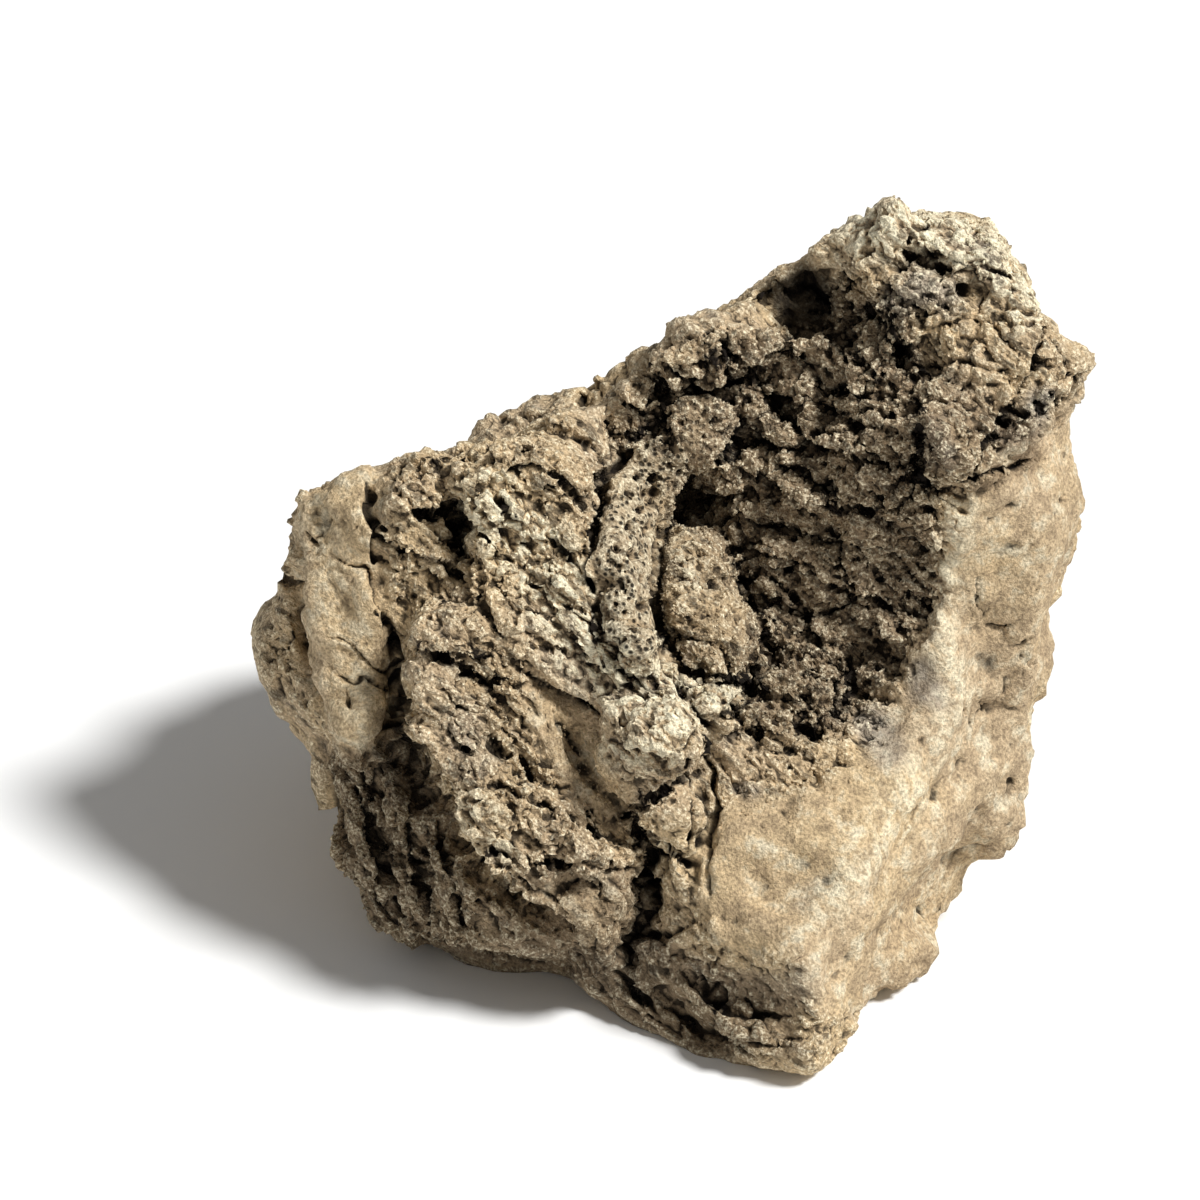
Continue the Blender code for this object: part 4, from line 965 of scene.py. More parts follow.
@dataclass
class RockSkin:
    """The rock's own surface: the solid's form with all the wear of the real stone.

    Attributes:
        back_edge: Edges of the mesh are at most this long on the back, in millimetres.
        face_edge: The same on the broken face.
        struck_edge: The same where it was struck smooth.
        holey_edge: The same where gas holes are.
        crack_edge: The same along the cracks.
        most_triangles: How many triangles the skin may have.
        rest_fade: Height over the ground where the wear is full.
        open_reach: How far off stone counts as shutting a place in, in millimetres.
        open_rays: How many ways are looked along from each vertex.
    """

    back_edge: float = 3.1
    face_edge: float = 1.12
    struck_edge: float = 1.45
    holey_edge: float = 0.72
    crack_edge: float = 0.85
    most_triangles: int = 196_000
    rest_fade: float = 5.0
    open_reach: float = 14.0
    open_rays: int = 7

    def build(self) -> bpy.types.Object:
        """Builds the whole skin.

        Returns:
            The finished object, without its material.
        """
        mesh = self.copy_of_solid()
        self.refine(mesh, lambda places, normals: np.full(len(places), 3.6), 2)
        self.soften(mesh, 2)
        self.refine(mesh, self.wanted_edges(2.2), 2)
        self.soften(mesh, 2)
        self.refine(mesh, self.wanted_edges(1.25), 2)
        places, normals, _ = mesh_arrays(mesh)
        self.wear(mesh, places, normals, self.coarse_relief)
        self.refine(mesh, self.wanted_edges(1.0), 2)
        self.soften(mesh, 1, 0.2)
        places, normals, _ = mesh_arrays(mesh)
        self.wear(mesh, places, normals, self.fine_relief)
        self.soften(mesh, 1, 0.08)
        data = bpy.data.meshes.new("weathered_skin")
        mesh.to_mesh(data)
        mesh.free()
        data.polygons.foreach_set("use_smooth", np.ones(len(data.polygons), bool))
        skin = bpy.data.objects.new("weathered_skin", data)
        bpy.context.scene.collection.objects.link(skin)
        self.add_masks(skin)
        LOG.info("weathered_skin: %d triangles before it is thinned out", len(data.polygons))
        self.thin_out(skin)
        return skin

    def thin_out(self, skin: bpy.types.Object) -> None:
        """Takes away the triangles that show least, down to as many as the skin may have.

        Args:
            skin: The skin.
        """
        thinning = skin.modifiers.new("thin_out", "DECIMATE")
        thinning.ratio = min(1.0, self.most_triangles / len(skin.data.polygons))
        full = skin.data
        skin.data = bpy.data.meshes.new_from_object(
            skin.evaluated_get(bpy.context.evaluated_depsgraph_get())
        )
        skin.modifiers.clear()
        bpy.data.meshes.remove(full)
        skin.data.name = "weathered_skin"
        self.leave_broken_faces_flat(skin.data)

    def leave_broken_faces_flat(self, data: bpy.types.Mesh) -> None:
        """Shades the skin flat where the stone is broken, and smooth elsewhere.

        Args:
            data: The skin's mesh.
        """
        corners = read_values(data.polygons, "vertices", 3)
        broken = read_values(data.attributes["broken"].data, "value")
        smooth = broken[corners].mean(axis=1) < 0.5
        data.polygons.foreach_set("use_smooth", smooth)

    def copy_of_solid(self) -> bmesh.types.BMesh:
        """A copy of the solid's mesh with its loose triangles joined up."""
        mesh = bmesh.new()
        mesh.from_mesh(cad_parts[NODE].data)
        bmesh.ops.remove_doubles(mesh, verts=mesh.verts, dist=0.01 * MM)
        return mesh

    def wanted_edges(self, factor: float) -> Callable[[np.ndarray, np.ndarray], np.ndarray]:
        """A rule for how long edges may be, for the refining.

        Args:
            factor: All lengths are multiplied by this.

        Returns:
            A function of places and normals that gives lengths in millimetres.
        """

        def wanted(places: np.ndarray, normals: np.ndarray) -> np.ndarray:
            reading = FaceReading.of(places, normals, (Texture.STRUCK, Texture.HOLEY))
            weights = reading.weights
            length = self.face_edge + (self.struck_edge - self.face_edge) * weights[Texture.STRUCK]
            holey = np.clip(weights[Texture.HOLEY] * 1.5, 0.0, 1.0)
            length = length + (self.holey_edge - length) * holey
            near = np.zeros(len(places))
            for groove in GROOVES.values():
                if groove.half_width < 1.5:
                    by = near_points(reading.places, groove.line, 2.6)
                    away = off_line(reading.places[by, 0], reading.places[by, 1], groove.line)[0]
                    near[by] = np.maximum(near[by], 1.0 - smooth_step(away, 1.6, 2.6))
            length = np.minimum(length, length + (self.crack_edge - length) * near)
            return factor * (self.back_edge + (length - self.back_edge) * reading.front)

        return wanted

    def refine(
        self,
        mesh: bmesh.types.BMesh,
        wanted: Callable[[np.ndarray, np.ndarray], np.ndarray],
        rounds: int,
    ) -> None:
        """Cuts every edge that is longer than wanted in two, round after round.

        Args:
            mesh: The mesh to refine.
            wanted: Gives the longest length allowed, in millimetres, from places and normals.
            rounds: How many rounds of cuts.
        """
        for _ in range(rounds):
            places, normals, edges = mesh_arrays(mesh)
            ends = places[edges]
            length = np.linalg.norm(ends[:, 0] - ends[:, 1], axis=1) / MM
            allowed = wanted(places, normals)[edges].mean(axis=1)
            long_ones = np.nonzero(length > allowed)[0]
            if not len(long_ones):
                return
            mesh.edges.ensure_lookup_table()
            bmesh.ops.subdivide_edges(
                mesh,
                edges=[mesh.edges[index] for index in long_ones.tolist()],
                cuts=1,
                use_grid_fill=True,
                use_single_edge=True,
            )
            many_sided = [face for face in mesh.faces if len(face.verts) > 3]
            bmesh.ops.triangulate(mesh, faces=many_sided, quad_method="BEAUTY", ngon_method="BEAUTY")

    def soften(self, mesh: bmesh.types.BMesh, times: int, factor: float = 0.5) -> None:
        """Rounds the mesh off, and keeps the patch it rests on flat.

        Args:
            mesh: The mesh to round off.
            times: How often.
            factor: How far each vertex goes towards its neighbours.
        """
        for _ in range(times):
            bmesh.ops.smooth_vert(
                mesh, verts=mesh.verts, factor=factor, use_axis_x=True, use_axis_y=True, use_axis_z=True
            )
            for vertex in mesh.verts:
                if vertex.co.z < 0.3 * MM:
                    vertex.co.z = 0.0

    def wear(
        self,
        mesh: bmesh.types.BMesh,
        places: np.ndarray,
        normals: np.ndarray,
        relief: Callable[[FaceReading], np.ndarray],
    ) -> None:
        """Moves the surface in and out by a relief.

        Args:
            mesh: The mesh to wear.
            places: Its vertices.
            normals: The way they face.
            relief: Gives the height in millimetres from a reading of the face.
        """
        reading = FaceReading.of(places, normals)
        height = relief(reading) * smooth_step(places[:, 2] / MM, 0.2, self.rest_fade)
        moved = places + normals * (height * MM)[:, None]
        moved[:, 2] = np.maximum(moved[:, 2], 0.0)
        move_vertices(mesh, moved)

    def coarse_relief(self, reading: FaceReading) -> np.ndarray:
        """The wear that is wider than about 3 mm."""
        places, weights = reading.places, reading.weights
        bent = places + 1.2 * np.column_stack([swell(places, 6.0, 21 + axis) for axis in range(3)])
        struck = weights[Texture.STRUCK]
        holey = np.clip(1.4 * weights[Texture.HOLEY], 0.0, 1.0)
        rough = 1.0 - np.maximum(0.70 * struck, 0.85 * holey)
        streaks = along_flow(bent, FLOW_WAY, 0.55)
        front = reading.front
        height = rough * (1.7 + 1.2 * front) * shards(streaks, 14.0, 101, gap=0.6 * front)
        height += front * rough * 1.5 * shards(streaks, 6.5, 111, gap=0.8)
        height += on_part(bent, 1.0 - front, lambda at: (
            4.5 * shards(at, 30.0, 121, tilt=1.1, step=0.25)))
        height += on_part(bent, struck * front, lambda at: (
            1.1 * shards(along_flow(at, PROW_WAY, 0.45), 10.0, 126, tilt=1.1, step=0.2)))
        height += 0.8 * rough_swell(places, 14.0, 131) * (0.6 + 0.5 * struck)
        height += on_part(bent, weights[Texture.RUBBLE], self.rubble)
        height += on_part(bent, weights[Texture.LUMPY], lambda at: (
            2.0 * shards(at, 11.0, 161, gap=1.0) + 1.2 * clods(at, 8.0, 166, 0.7)))
        height += on_part(bent, weights[Texture.FLOW], lambda at: self.flow(at, 7.0, 20.0, 1.1, 171))
        height += on_part(places, weights[Texture.LAYERED], lambda at: self.layers(at, 6.0, 2.4, 181))
        grooves = sum(groove.cut(places) for groove in GROOVES.values() if groove.half_width >= 1.5)
        spots = sum(spot.rise(places) for spot in SPOTS.values() if spot.half_width >= 2.4)
        ledges = sum(ledge.rise(places) for ledge in (*LEDGES.values(), *CRESTS.values()))
        return height + (spots + ledges - grooves) * reading.front

    def fine_relief(self, reading: FaceReading) -> np.ndarray:
        """The wear that is narrower than about 3 mm."""
        places, weights = reading.places, reading.weights
        bent = places + 0.7 * np.column_stack([swell(places, 2.6, 31 + axis) for axis in range(3)])
        front, struck = reading.front, weights[Texture.STRUCK]
        holey = weights[Texture.HOLEY]
        rough = front * (1.0 - 0.75 * np.maximum(struck, np.clip(1.2 * holey, 0.0, 1.0)))
        streaks = along_flow(bent, FLOW_WAY, 0.6)
        height = on_part(streaks, rough, lambda at: (
            0.8 * shards(at, 3.4, 201, step=0.8) + 0.4 * shards(at, 1.9, 206)))
        height += on_part(places, front * (0.6 + 0.6 * struck), lambda at: (
            0.30 * rough_swell(at, 2.8, 211, 2)))
        height += on_part(bent, weights[Texture.RUBBLE], lambda at: (
            0.9 * shards(at, 2.7, 221, step=0.9)))
        height += on_part(bent, weights[Texture.FLOW], lambda at: self.flow(at, 2.8, 10.0, 0.8, 231))
        height += on_part(bent, 1.0 - front, lambda at: (
            0.7 * shards(at, 8.0, 241) + 0.7 * ridges(at, 10.0, 251, 2)))
        height -= on_part(places, np.clip(holey * 1.2, 0.0, 1.0), lambda at: (
            2.4 * holes(at, 4.0, 261, 0.46) + 1.2 * holes(at, 2.2, 271, 0.38)))
        height -= on_part(places, struck, lambda at: 0.4 * holes(at, 10.0, 281, 0.10))
        height += on_part(bent, struck, lambda at: (
            0.35 * ridges(along_flow(at, PROW_WAY, 0.35), 4.0, 286, 2)))
        grooves = sum(groove.cut(places) for groove in GROOVES.values() if groove.half_width < 1.5)
        spots = sum(spot.rise(places) for spot in SPOTS.values() if spot.half_width < 2.4)
        return height + (spots - grooves) * front

    def rubble(self, places: np.ndarray) -> np.ndarray:
        """Crumbling stone of the hollow: flakes and crests that run down to the right."""
        streaks = along_flow(places, HOLLOW_WAY, 0.55)
        return (
            3.0 * shards(streaks, 9.0, 141, tilt=1.0, step=0.9, gap=1.5)
            + 1.5 * shards(streaks, 4.4, 151, tilt=1.0, step=0.8, gap=1.1)
            + 1.3 * ridges(streaks, 7.0, 156)
            + 1.6 * clods(places, 8.0, 166, 0.25)
        )

    def flow(
        self, places: np.ndarray, width: float, length: float, height: float, salt: int
    ) -> np.ndarray:
        """Flow grain: long chips that run down to the right across the ridges.

        Args:
            places: Millimetres across, up and out.
            width: How wide a chip is.
            length: How long it is.
            height: How deep it is.
            salt: Which of many patterns is read.

        Returns:
            The height at each place.
        """
        grain = along_flow(places, RIDGE_WAY, width / length)
        chips, crests = shards(grain, width, salt, gap=0.7), ridges(grain, width, salt + 3)
        return height * (1.1 * chips + 0.7 * crests)

    def layers(self, places: np.ndarray, spacing: float, height: float, salt: int) -> np.ndarray:
        """Split layers that run down to the right: each rises and then breaks off.

        Args:
            places: Millimetres across, up and out.
            spacing: From one layer to the next.
            height: How far each stands out.
            salt: Which of many patterns is read.

        Returns:
            The height at each place.
        """
        across_layers = 0.97 * places[:, 0] + 0.24 * places[:, 1] + 1.8 * swell(places, 9.0, salt)
        part = across_layers / spacing + 0.3 * swell(places, 4.0, salt + 1)
        part = part - np.floor(part)
        return height * (smooth_step(part, 0.0, 0.75) * (1.0 - smooth_step(part, 0.85, 1.0)) - 0.5)

    def openness(self, data: bpy.types.Mesh, places: np.ndarray, normals: np.ndarray) -> np.ndarray:
        """How open to the air each vertex lies: 1 on a crest and 0 deep in a gap. The colour paints
        shade where it is low.

        Args:
            data: The skin's mesh.
            places: Its vertices.
            normals: The way that they face.

        Returns:
            The openness of each vertex.
        """
        tree = BVHTree.FromPolygons(places.tolist(), read_values(data.polygons, "vertices", 3).tolist())
        off_axis = np.where(np.abs(normals[:, :1]) < 0.7, (1.0, 0.0, 0.0), (0.0, 1.0, 0.0))
        aside = np.cross(normals, off_axis)
        aside /= np.linalg.norm(aside, axis=1)[:, None]
        over = np.cross(normals, aside)
        starts = (places + normals * 0.25 * MM).tolist()
        reach = self.open_reach * MM
        shut = np.zeros(len(places))
        for way in spread_ways(self.open_rays):
            ways = (aside * way[0] + over * way[1] + normals * way[2]).tolist()
            for index, (start, direction) in enumerate(zip(starts, ways)):
                away = tree.ray_cast(start, direction, reach)[3]
                if away is not None:
                    shut[index] += 1.0 - 0.6 * away / reach
        return 1.0 - shut / self.open_rays

    def add_masks(self, skin: bpy.types.Object) -> None:
        """Stores what the stone's finish reads at each vertex, among them the masks for painted shade
        and painted highlights.

        Args:
            skin: The finished skin.
        """
        data = skin.data
        places, normals = read_values(data.vertices, "co", 3), read_values(data.vertices, "normal", 3)
        edges = read_values(data.edges, "vertices", 2)
        near = even_out(places, edges, 3)
        wide = even_out(near, edges, 22)
        fine = ((places - near) * normals).sum(axis=1) / MM
        broad = ((places - wide) * normals).sum(axis=1) / MM
        soft_normals = even_out(normals, edges, 22)
        reading = FaceReading.of(places, soft_normals)
        strength = (0.35 + 0.65 * reading.front) * (1.0 - 0.45 * reading.weights[Texture.STRUCK])
        # raised: how far each vertex stands over its neighbours; the colour paints highlights where it
        # is high and shade where it is low.
        store_mask(data, "raised", np.clip(0.5 + (fine * 1.1 + broad * 0.35) * strength, 0.0, 1.0))
        # open: how much of the air each vertex sees; the colour paints shade where it is low.
        openness = self.openness(data, places, even_out(normals, edges, 2))
        store_mask(data, "open", even_out(openness[:, None], edges, 1)[:, 0])
        for tint in Tint:
            store_mask(data, tint.value, reading.weights[tint])
        store_mask(data, "holey", reading.weights[Texture.HOLEY])
        store_mask(data, "struck", reading.weights[Texture.STRUCK])
        rough_kinds = (Texture.RUBBLE, Texture.FLOW, Texture.LAYERED, Texture.LUMPY)
        store_mask(data, "broken", np.max([reading.weights[kind] for kind in rough_kinds], axis=0))


@dataclass
class Grit:
    """Angular grains that cling to the broken stone, joined up in one piece.

    Attributes:
        name: What the piece is called.
        count: How many grains.
        smallest: Radius of the smallest, in millimetres.
        largest: Radius of the largest.
        textures: The stone they lie on.
        seed: Which of many scatters is made.
        sunk: How far a grain's middle lies over the stone, as a share of its radius.
    """

    name: str
    count: int
    smallest: float
    largest: float
    textures: tuple[Texture, ...]
    seed: int
    sunk: float = 0.15

    def build(self, skin: bpy.types.Object) -> bpy.types.Object:
        """Scatters the grains over the skin.

        Args:
            skin: The finished skin, with its masks.

        Returns:
            The piece, without its material.
        """
        chance = np.random.default_rng(self.seed)
        corners = read_values(skin.data.polygons, "vertices", 3)
        places = read_values(skin.data.vertices, "co", 3)
        middles, facing, area = self.middles(places[corners])
        weights = FaceReading.of(middles, facing, self.textures).weights
        wanted = area * sum(weights[texture] for texture in self.textures)
        chosen = chance.choice(len(corners), self.count, p=wanted / wanted.sum())
        shares = chance.dirichlet((1.0, 1.0, 1.0), self.count)
        seats = (places[corners[chosen]] * shares[:, :, None]).sum(axis=1)
        upward = facing[chosen]
        growth = chance.random(self.count) ** 2.2  # most grains are small
        radius = self.smallest * (self.largest / self.smallest) ** growth * MM
        grains, faces = self.grains(chance, radius)
        height = (grains * upward[:, None, :]).sum(axis=2) / radius[:, None]
        grains += (seats + upward * (radius * self.sunk)[:, None])[:, None, :]
        grains[:, :, 2] = np.maximum(grains[:, :, 2], 0.0)
        data = bpy.data.meshes.new(self.name)
        data.from_pydata(grains.reshape(-1, 3).tolist(), [], faces.tolist())
        for attribute in [item for item in skin.data.attributes if item.name in MASKS]:
            values = read_values(attribute.data, "value")
            own = (values[corners[chosen]] * shares).sum(axis=1)[:, None] + np.zeros_like(height)
            # Painted light: a grain's top reads more raised and open than its bottom, so its top is
            # painted paler and its bottom shaded.
            if attribute.name in ("raised", "open"):
                own = np.clip(own + 0.22 * height, 0.0, 1.0)
            store_mask(data, attribute.name, own.ravel())
        made = bpy.data.objects.new(self.name, data)
        bpy.context.scene.collection.objects.link(made)
        return made

    def middles(self, triangles: np.ndarray) -> tuple[np.ndarray, np.ndarray, np.ndarray]:
        """The middle, the way faced and twice the area of each triangle."""
        cross = np.cross(triangles[:, 1] - triangles[:, 0], triangles[:, 2] - triangles[:, 0])
        area = np.linalg.norm(cross, axis=1)
        return triangles.mean(axis=1), cross / np.maximum(area, 1e-14)[:, None], area

    def grains(self, chance: np.random.Generator, radius: np.ndarray) -> tuple[np.ndarray, np.ndarray]:
        """Angular grains round the origin, each with its own shape and turn.

        Args:
            chance: Where the shapes come from.
            radius: The radius of each grain, in metres.

        Returns:
            The vertices of each grain, and the triangles of them all.
        """
        ball = bmesh.new()
        bmesh.ops.create_icosphere(ball, subdivisions=1, radius=1.0)
        template = np.array([vertex.co[:] for vertex in ball.verts])
        faces = np.array([[vertex.index for vertex in face.verts] for face in ball.faces])
        ball.free()
        count = len(radius)
        shapes = template[None] * chance.uniform(0.70, 1.15, (count, len(template), 1))
        breadth, thickness = chance.uniform(0.6, 0.9, count), chance.uniform(0.45, 0.8, count)
        shapes *= np.stack((np.ones(count), breadth, thickness), 1)[:, None]
        turns = np.linalg.qr(chance.normal(size=(count, 3, 3)))[0]
        turns[:, :, 0] *= np.linalg.det(turns)[:, None]
        shapes = np.einsum("nij,nkj->nki", turns, shapes) * radius[:, None, None]
        return shapes, (faces[None] + (np.arange(count) * len(template))[:, None, None]).reshape(-1, 3)


def spread_ways(count: int) -> np.ndarray:
    """Directions over the half sphere round +Z, closer together near the middle.

    Args:
        count: How many.

    Returns:
        The directions, one to a row.
    """
    index = np.arange(count) + 0.5
    turn = index * math.pi * (3.0 - math.sqrt(5.0))
    reach = np.sqrt(index / count)
    return np.column_stack((reach * np.cos(turn), reach * np.sin(turn), np.sqrt(1.0 - reach**2)))


def store_mask(data: bpy.types.Mesh, name: str, values: np.ndarray) -> None:
    """Stores one value for each vertex of a mesh.

    Args:
        data: The mesh.
        name: What the attribute is called.
        values: The values.
    """
    attribute = data.attributes.new(name, "FLOAT", "POINT")
    attribute.data.foreach_set("value", values.astype(np.float32))


def linear(red: int, green: int, blue: int) -> tuple[float, float, float, float]:
    """A colour as the shader wants it, from its screen values of 0 to 255."""
    parts = [value / 255.0 for value in (red, green, blue)]
    lit = [part / 12.92 if part <= 0.04045 else ((part + 0.055) / 1.055) ** 2.4 for part in parts]
    return (*lit, 1.0)


@dataclass
class NodeGraph:
    """Adds nodes to one material.

    Attributes:
        tree: The material's node tree.
    """

    tree: bpy.types.NodeTree

    def add(self, kind: str, settings: dict | None = None, **inputs: object) -> bpy.types.Node:
        """Adds a node.

        Args:
            kind: Its type, such as ShaderNodeMath.
            settings: Its own settings, by name.
            **inputs: Its inputs by name, with _ for a space: a value, or a socket to link.

        Returns:
            The node.
        """
        node = self.tree.nodes.new(kind)
        for name, value in (settings or {}).items():
            setattr(node, name, value)
        self.feed(node, {name.replace("_", " "): value for name, value in inputs.items()})
        return node

    def feed(self, node: bpy.types.Node, inputs: dict[str | int, object]) -> None:
        """Links sockets to a node's inputs and sets the others to their values.

        Args:
            node: The node.
            inputs: A socket or a value for each input, by the input's name or number.
        """
        for key, value in inputs.items():
            if isinstance(value, bpy.types.NodeSocket):
                self.tree.links.new(value, node.inputs[key])
            else:
                node.inputs[key].default_value = value

    def mask(self, name: str) -> bpy.types.NodeSocket:
        """The value that a mesh stores under a name."""
        return self.add("ShaderNodeAttribute", {"attribute_name": name}).outputs["Fac"]

    def noise(
        self, at: bpy.types.NodeSocket, size: float, detail: float, roughness: float = 0.6
    ) -> bpy.types.NodeSocket:
        """Noise whose largest patches are about one size.

        Args:
            at: The coordinates.
            size: Size of the patches, in metres.
            detail: How many finer sizes are in it.
            roughness: How strong the finer ones are.

        Returns:
            Its value, from 0 to 1.
        """
        node = self.add(
            "ShaderNodeTexNoise", None, Vector=at, Scale=1.0 / size, Detail=detail, Roughness=roughness
        )
        return node.outputs["Fac"]

    def vector(self, operation: str, *values: object) -> bpy.types.NodeSocket:
        """A sum, product or the like of directions."""
        node = self.add("ShaderNodeVectorMath", {"operation": operation})
        self.feed(node, dict(enumerate(values)))
        return node.outputs["Value" if operation == "DOT_PRODUCT" else "Vector"]

    def math(self, operation: str, *values: object) -> bpy.types.NodeSocket:
        """A sum, product or the like of sockets and numbers."""
        node = self.add("ShaderNodeMath", {"operation": operation})
        self.feed(node, dict(enumerate(values)))
        return node.outputs[0]

    def between(
        self, value: bpy.types.NodeSocket, low: float, high: float, start: float = 0.0, end: float = 1.0
    ) -> bpy.types.NodeSocket:
        """Takes the stretch from low to high of a value to the stretch from start to end.

        Args:
            value: What is read.
            low: Where it starts.
            high: Where it ends.
            start: What it gives at low.
            end: What it gives at high.

        Returns:
            The new value, held within start and end.
        """
        node = self.add("ShaderNodeMapRange", {"clamp": True}, Value=value)
        self.feed(node, {"From Min": low, "From Max": high, "To Min": start, "To Max": end})
        return node.outputs["Result"]

    def mix(
        self, share: object, under: object, over: object, blend: str = "MIX"
    ) -> bpy.types.NodeSocket:
        """Lays one colour over another.

        Args:
            share: How much of it shows.
            under: The colour below.
            over: The colour on top.
            blend: How the two are blended.

        Returns:
            The colour.
        """
        settings = {"data_type": "RGBA", "blend_type": blend, "clamp_factor": True}
        node = self.add("ShaderNodeMix", settings)
        self.feed(node, {0: share, 6: under, 7: over})
        return node.outputs[2]


@dataclass(frozen=True)
class FineForm:
    """Values of the stone's form where it is finer than the mesh, for its colour and its bump.

    Attributes:
        crumb: Crumbly roughness that runs in streaks, from 0 to 1.
        grain: Sandy grain, from 0 to 1.
        pits: 1 in small gas holes and 0 off them.
        rough: 1 where the stone is broken and close to 0 where it was struck smooth.
    """

    crumb: bpy.types.NodeSocket
    grain: bpy.types.NodeSocket
    pits: bpy.types.NodeSocket
    rough: bpy.types.NodeSocket


@dataclass(frozen=True)
class DustyStone:
    """The finish of the rock: matte, dusty tan stone, with shade painted dark into its hollows and
    highlights painted pale on its crests.

    Attributes:
        name: What the material is called.
        tan: The common colour of the stone.
        sand: Warmer tan, in patches.
        cream: Pale crust and pale mottle, and painted highlights on crests.
        grey: Smudges.
        brown: Brown stone and stains, and painted shade in the hollow and on faces turned from the
            light.
        dark: Painted shade at the bottom of gaps, holes, hollows and recesses.
        streak_degrees: The way of the streaks on the face, from across towards up.
        streak_squeeze: How much wider than long they are.
        grain_size: Size of the sandy grain, in metres.
        grain_height: How far it stands out, in metres.
        crumb_size: Size of the crumbly roughness over it, in metres.
        crumb_height: How far that stands out, in metres.
        pit_depth: How deep the small gas holes are, in metres.
    """

    name: str = "dusty_lava"
    tan: tuple = linear(196, 173, 140)
    sand: tuple = linear(204, 179, 140)
    cream: tuple = linear(240, 230, 200)
    grey: tuple = linear(150, 145, 137)
    brown: tuple = linear(142, 122, 97)
    dark: tuple = linear(26, 21, 17)
    streak_degrees: float = -38.0
    streak_squeeze: float = 0.45
    grain_size: float = 0.0008
    grain_height: float = 0.0006
    crumb_size: float = 0.0030
    crumb_height: float = 0.0017
    pit_depth: float = 0.0008

    def material(self) -> bpy.types.Material:
        """Makes the material.

        Returns:
            The material, which reads the masks of the piece that wears it.
        """
        made = bpy.data.materials.new(self.name)
        made.use_nodes = True
        graph = NodeGraph(made.node_tree)
        at = graph.add("ShaderNodeTexCoord").outputs["Object"]
        form = self.fine_form(graph, at)
        shader = made.node_tree.nodes["Principled BSDF"]
        shader.inputs["Roughness"].default_value = 0.95
        shader.inputs["Specular IOR Level"].default_value = 0.15
        made.node_tree.links.new(self.colour(graph, at, form), shader.inputs["Base Color"])
        made.node_tree.links.new(self.bump(graph, form), shader.inputs["Normal"])
        return made

    def fine_form(self, graph: NodeGraph, at: bpy.types.NodeSocket) -> FineForm:
        """Works out the form that is finer than the mesh.

        Args:
            graph: The material's nodes.
            at: The coordinates.

        Returns:
            Its values.
        """
        turn = math.radians(self.streak_degrees)
        ways = (
            FACE.direction(math.cos(turn), math.sin(turn), 0.0) * self.streak_squeeze,
            FACE.direction(-math.sin(turn), math.cos(turn), 0.0),
            FACE.direction(0.0, 0.0, 1.0),
        )
        parts = [graph.vector("DOT_PRODUCT", at, tuple(way)) for way in ways]
        streaks = graph.add("ShaderNodeCombineXYZ", None, X=parts[0], Y=parts[1], Z=parts[2]).outputs[0]
        rough = graph.math("SUBTRACT", 1.0, graph.math("MULTIPLY", graph.mask("struck"), 0.86))
        crumb = graph.noise(streaks, self.crumb_size, 3.0, 0.62)
        grain = graph.noise(at, self.grain_size, 2.0, 0.65)
        bubbles = graph.add("ShaderNodeTexVoronoi", None, Vector=at, Scale=1.0 / 0.0016)
        pits = graph.between(bubbles.outputs["Distance"], 0.20, 0.42, 1.0, 0.0)
        pits = graph.math("MULTIPLY", pits, graph.mask("holey"))
        return FineForm(crumb, grain, pits, rough)

    def colour(
        self, graph: NodeGraph, at: bpy.types.NodeSocket, form: FineForm
    ) -> bpy.types.NodeSocket:
        """Builds up the stone's colour, with painted shade in its hollows and low places and painted
        highlights on its crests.

        Args:
            graph: The material's nodes.
            at: The coordinates.
            form: The form that is finer than the mesh.

        Returns:
            The colour.
        """
        patches = graph.noise(at, 0.030, 2.0)
        mottle = graph.noise(at, 0.0060, 3.0, 0.65)
        raised = graph.mask("raised")
        colour = graph.mix(graph.between(patches, 0.42, 0.62), self.tan, self.sand)
        colour = graph.mix(graph.mask("sand"), colour, self.sand)
        grey_share = graph.math("ADD", graph.mask("grey"), graph.between(mottle, 0.56, 0.75, 0.0, 0.5))
        colour = graph.mix(graph.math("MULTIPLY", grey_share, 0.85), colour, self.grey)
        uneven = graph.between(mottle, 0.25, 0.6, 1.0, 0.6)
        # Brown stone and painted shade: the brown mask darkens the hollow and the faces turned from the
        # light.
        brown_and_shade_share = graph.math("MULTIPLY", graph.mask("brown"), uneven)
        colour = graph.mix(brown_and_shade_share, colour, self.brown)
        struck = graph.mask("struck")
        pale = graph.math("MULTIPLY", graph.between(mottle, 0.51, 0.66, 0.0, 0.5), struck)
        stained = graph.math("MULTIPLY", graph.between(mottle, 0.49, 0.36, 0.0, 0.5), struck)
        colour = graph.mix(stained, graph.mix(pale, colour, self.cream), self.brown)
        # Painted highlight: cream on the raised tops of the cream regions, where the light catches
        # them.
        crest = graph.math("MULTIPLY", graph.mask("cream"), graph.between(raised, 0.40, 0.62))
        crest = graph.math("MULTIPLY", crest, graph.between(form.crumb, 0.42, 0.52, 0.2, 1.0))
        colour = graph.mix(crest, colour, self.cream)
        grainy = graph.between(form.grain, 0.45, 0.7)
        # Dust and painted highlight: pale specks on the raised grain.
        dust_and_painted_highlight = graph.math("MULTIPLY", graph.between(raised, 0.53, 0.8), grainy)
        dust_and_painted_highlight = graph.math("MULTIPLY", dust_and_painted_highlight, form.rough)
        colour = graph.mix(graph.math("MULTIPLY", dust_and_painted_highlight, 0.8), colour, self.cream)
        grains = graph.between(form.grain, 0.32, 0.68, 0.58, 1.28)
        grey_grains = graph.add("ShaderNodeCombineColor", None, Red=grains, Green=grains, Blue=grains)
        colour = graph.mix(1.0, colour, grey_grains.outputs[0], "MULTIPLY")
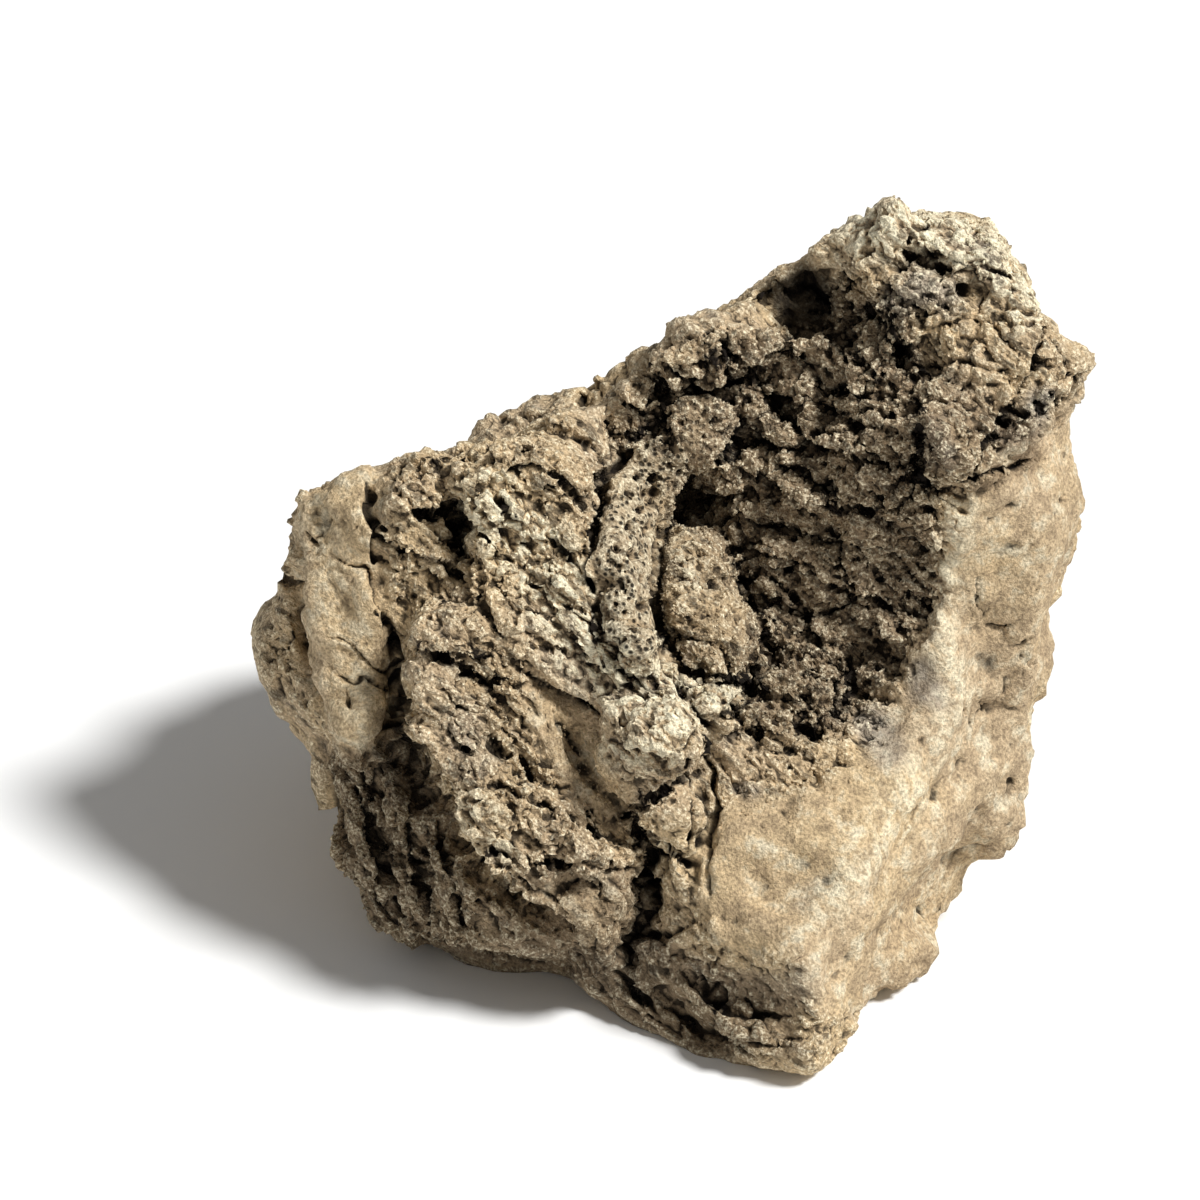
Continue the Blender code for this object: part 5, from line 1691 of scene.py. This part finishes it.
        # Painted shade: the low places of the crumbly roughness are darkened.
        hollows = graph.math("MULTIPLY", graph.between(form.crumb, 0.44, 0.37, 0.0, 0.60), form.rough)
        # Painted shade: dark is mixed into the low places of the roughness, the small gas holes,
        # concave places, places shut in by stone, and the painted-shade regions.
        for share in (
            hollows,
            graph.math("MULTIPLY", form.pits, 0.95),
            graph.between(raised, 0.38, 0.08, 0.0, 0.85),
            graph.between(graph.mask("open"), 0.64, 0.30, 0.0, 0.97),
            graph.mask("black"),
        ):
            colour = graph.mix(share, colour, self.dark)
        return colour

    def bump(self, graph: NodeGraph, form: FineForm) -> bpy.types.NodeSocket:
        """Makes the form that is finer than the mesh catch the light.

        Args:
            graph: The material's nodes.
            form: That form.

        Returns:
            The surface direction for the shader.
        """
        crumbs = graph.math("MULTIPLY", form.crumb, form.rough)
        height = graph.math("MULTIPLY", crumbs, self.crumb_height)
        height = graph.math("MULTIPLY_ADD", form.grain, self.grain_height, height)
        height = graph.math("MULTIPLY_ADD", form.pits, -self.pit_depth, height)
        bump = graph.add("ShaderNodeBump", None, Strength=1.0, Distance=1.0, Height=height)
        return bump.outputs["Normal"]


@dataclass
class Studio:
    """A pale floor, a soft key light from the upper right, a weak fill, and the camera.

    Attributes:
        floor_radius: How far the floor reaches, in metres.
        distance: From the camera to the broken face, in metres.
        view_width: Width of the view at the broken face, in metres.
        middle: Across and up, where the middle of the view is on the face, in millimetres.
        key_from: Where the key light comes from: across, up, out of the face.
        key_strength: Its strength.
        key_angle: How wide it looks, which softens its shadows.
        fill_strength: Strength of the light from all round.
    """

    floor_radius: float = 12.0
    distance: float = 1.5
    view_width: float = 0.2857
    middle: tuple[float, float] = (-18.1, 9.5)
    key_from: tuple[float, float, float] = (0.55, 0.54, 0.63)
    key_strength: float = 3.9
    key_angle: float = math.radians(12.0)
    fill_strength: float = 0.25

    def build(self) -> None:
        """Builds the floor, the lights and the camera."""
        self.floor()
        self.lights()
        self.camera()

    def floor(self) -> None:
        """Lays the floor."""
        mesh = bmesh.new()
        bmesh.ops.create_circle(mesh, cap_ends=True, segments=96, radius=self.floor_radius)
        data = bpy.data.meshes.new("studio_floor")
        mesh.to_mesh(data)
        mesh.free()
        floor = bpy.data.objects.new("studio_floor", data)
        paper = bpy.data.materials.new("pale_floor")
        paper.use_nodes = True
        shader = paper.node_tree.nodes["Principled BSDF"]
        shader.inputs["Base Color"].default_value = (0.90, 0.90, 0.89, 1.0)
        shader.inputs["Roughness"].default_value = 0.9
        shader.inputs["Specular IOR Level"].default_value = 0.1
        data.materials.append(paper)
        bpy.context.scene.collection.objects.link(floor)

    def lights(self) -> None:
        """Sets the key light and the fill."""
        key = bpy.data.lights.new("key_light", "SUN")
        key.energy = self.key_strength
        key.angle = self.key_angle
        key_light = bpy.data.objects.new("key_light", key)
        key_light.rotation_euler = FACE.direction(*self.key_from).to_track_quat("Z", "Y").to_euler()
        bpy.context.scene.collection.objects.link(key_light)
        world = bpy.data.worlds.new("studio")
        world.use_nodes = True
        sky = world.node_tree.nodes["Background"]
        sky.inputs["Color"].default_value = (1.0, 1.0, 1.0, 1.0)
        sky.inputs["Strength"].default_value = self.fill_strength
        bpy.context.scene.world = world
        bpy.context.scene.view_settings.view_transform = "Standard"

    def camera(self) -> None:
        """Places the camera square to the broken face."""
        lens = bpy.data.cameras.new("camera")
        lens.sensor_width = 36.0
        lens.lens = lens.sensor_width * self.distance / self.view_width
        lens.clip_start, lens.clip_end = 0.01, 60.0
        camera = bpy.data.objects.new("camera", lens)
        place = FACE.to_row(np.array((*self.middle, self.distance / MM)))
        axes = Matrix(FACE.axes().tolist()).transposed()
        camera.matrix_world = Matrix.Translation(Vector(place)) @ axes.to_4x4()
        bpy.context.scene.collection.objects.link(camera)
        bpy.context.scene.camera = camera


def main() -> None:
    """Builds the rock, dresses it and sets the studio."""
    logging.basicConfig(level=logging.INFO, format="%(name)s: %(message)s")
    stone = DustyStone().material()
    skin = RockSkin().build()
    hollow_grit = Grit("grit_of_the_hollow", 9000, 0.28, 1.15, (Texture.RUBBLE,), 1).build(skin)
    ridge_grit = Grit(
        "grit_of_the_ridges", 9500, 0.24, 0.80, (Texture.FLOW, Texture.LAYERED, Texture.LUMPY), 2
    ).build(skin)
    for piece in (skin, hollow_grit, ridge_grit):
        piece.data.materials.append(stone)
        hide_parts(NODE)
        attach(piece, "root")
        LOG.info("%s: %d triangles", piece.name, len(piece.data.polygons))
    Studio().build()
    LOG.info("studio: floor, key light, fill and camera")


if __name__ == "__main__":
    main()
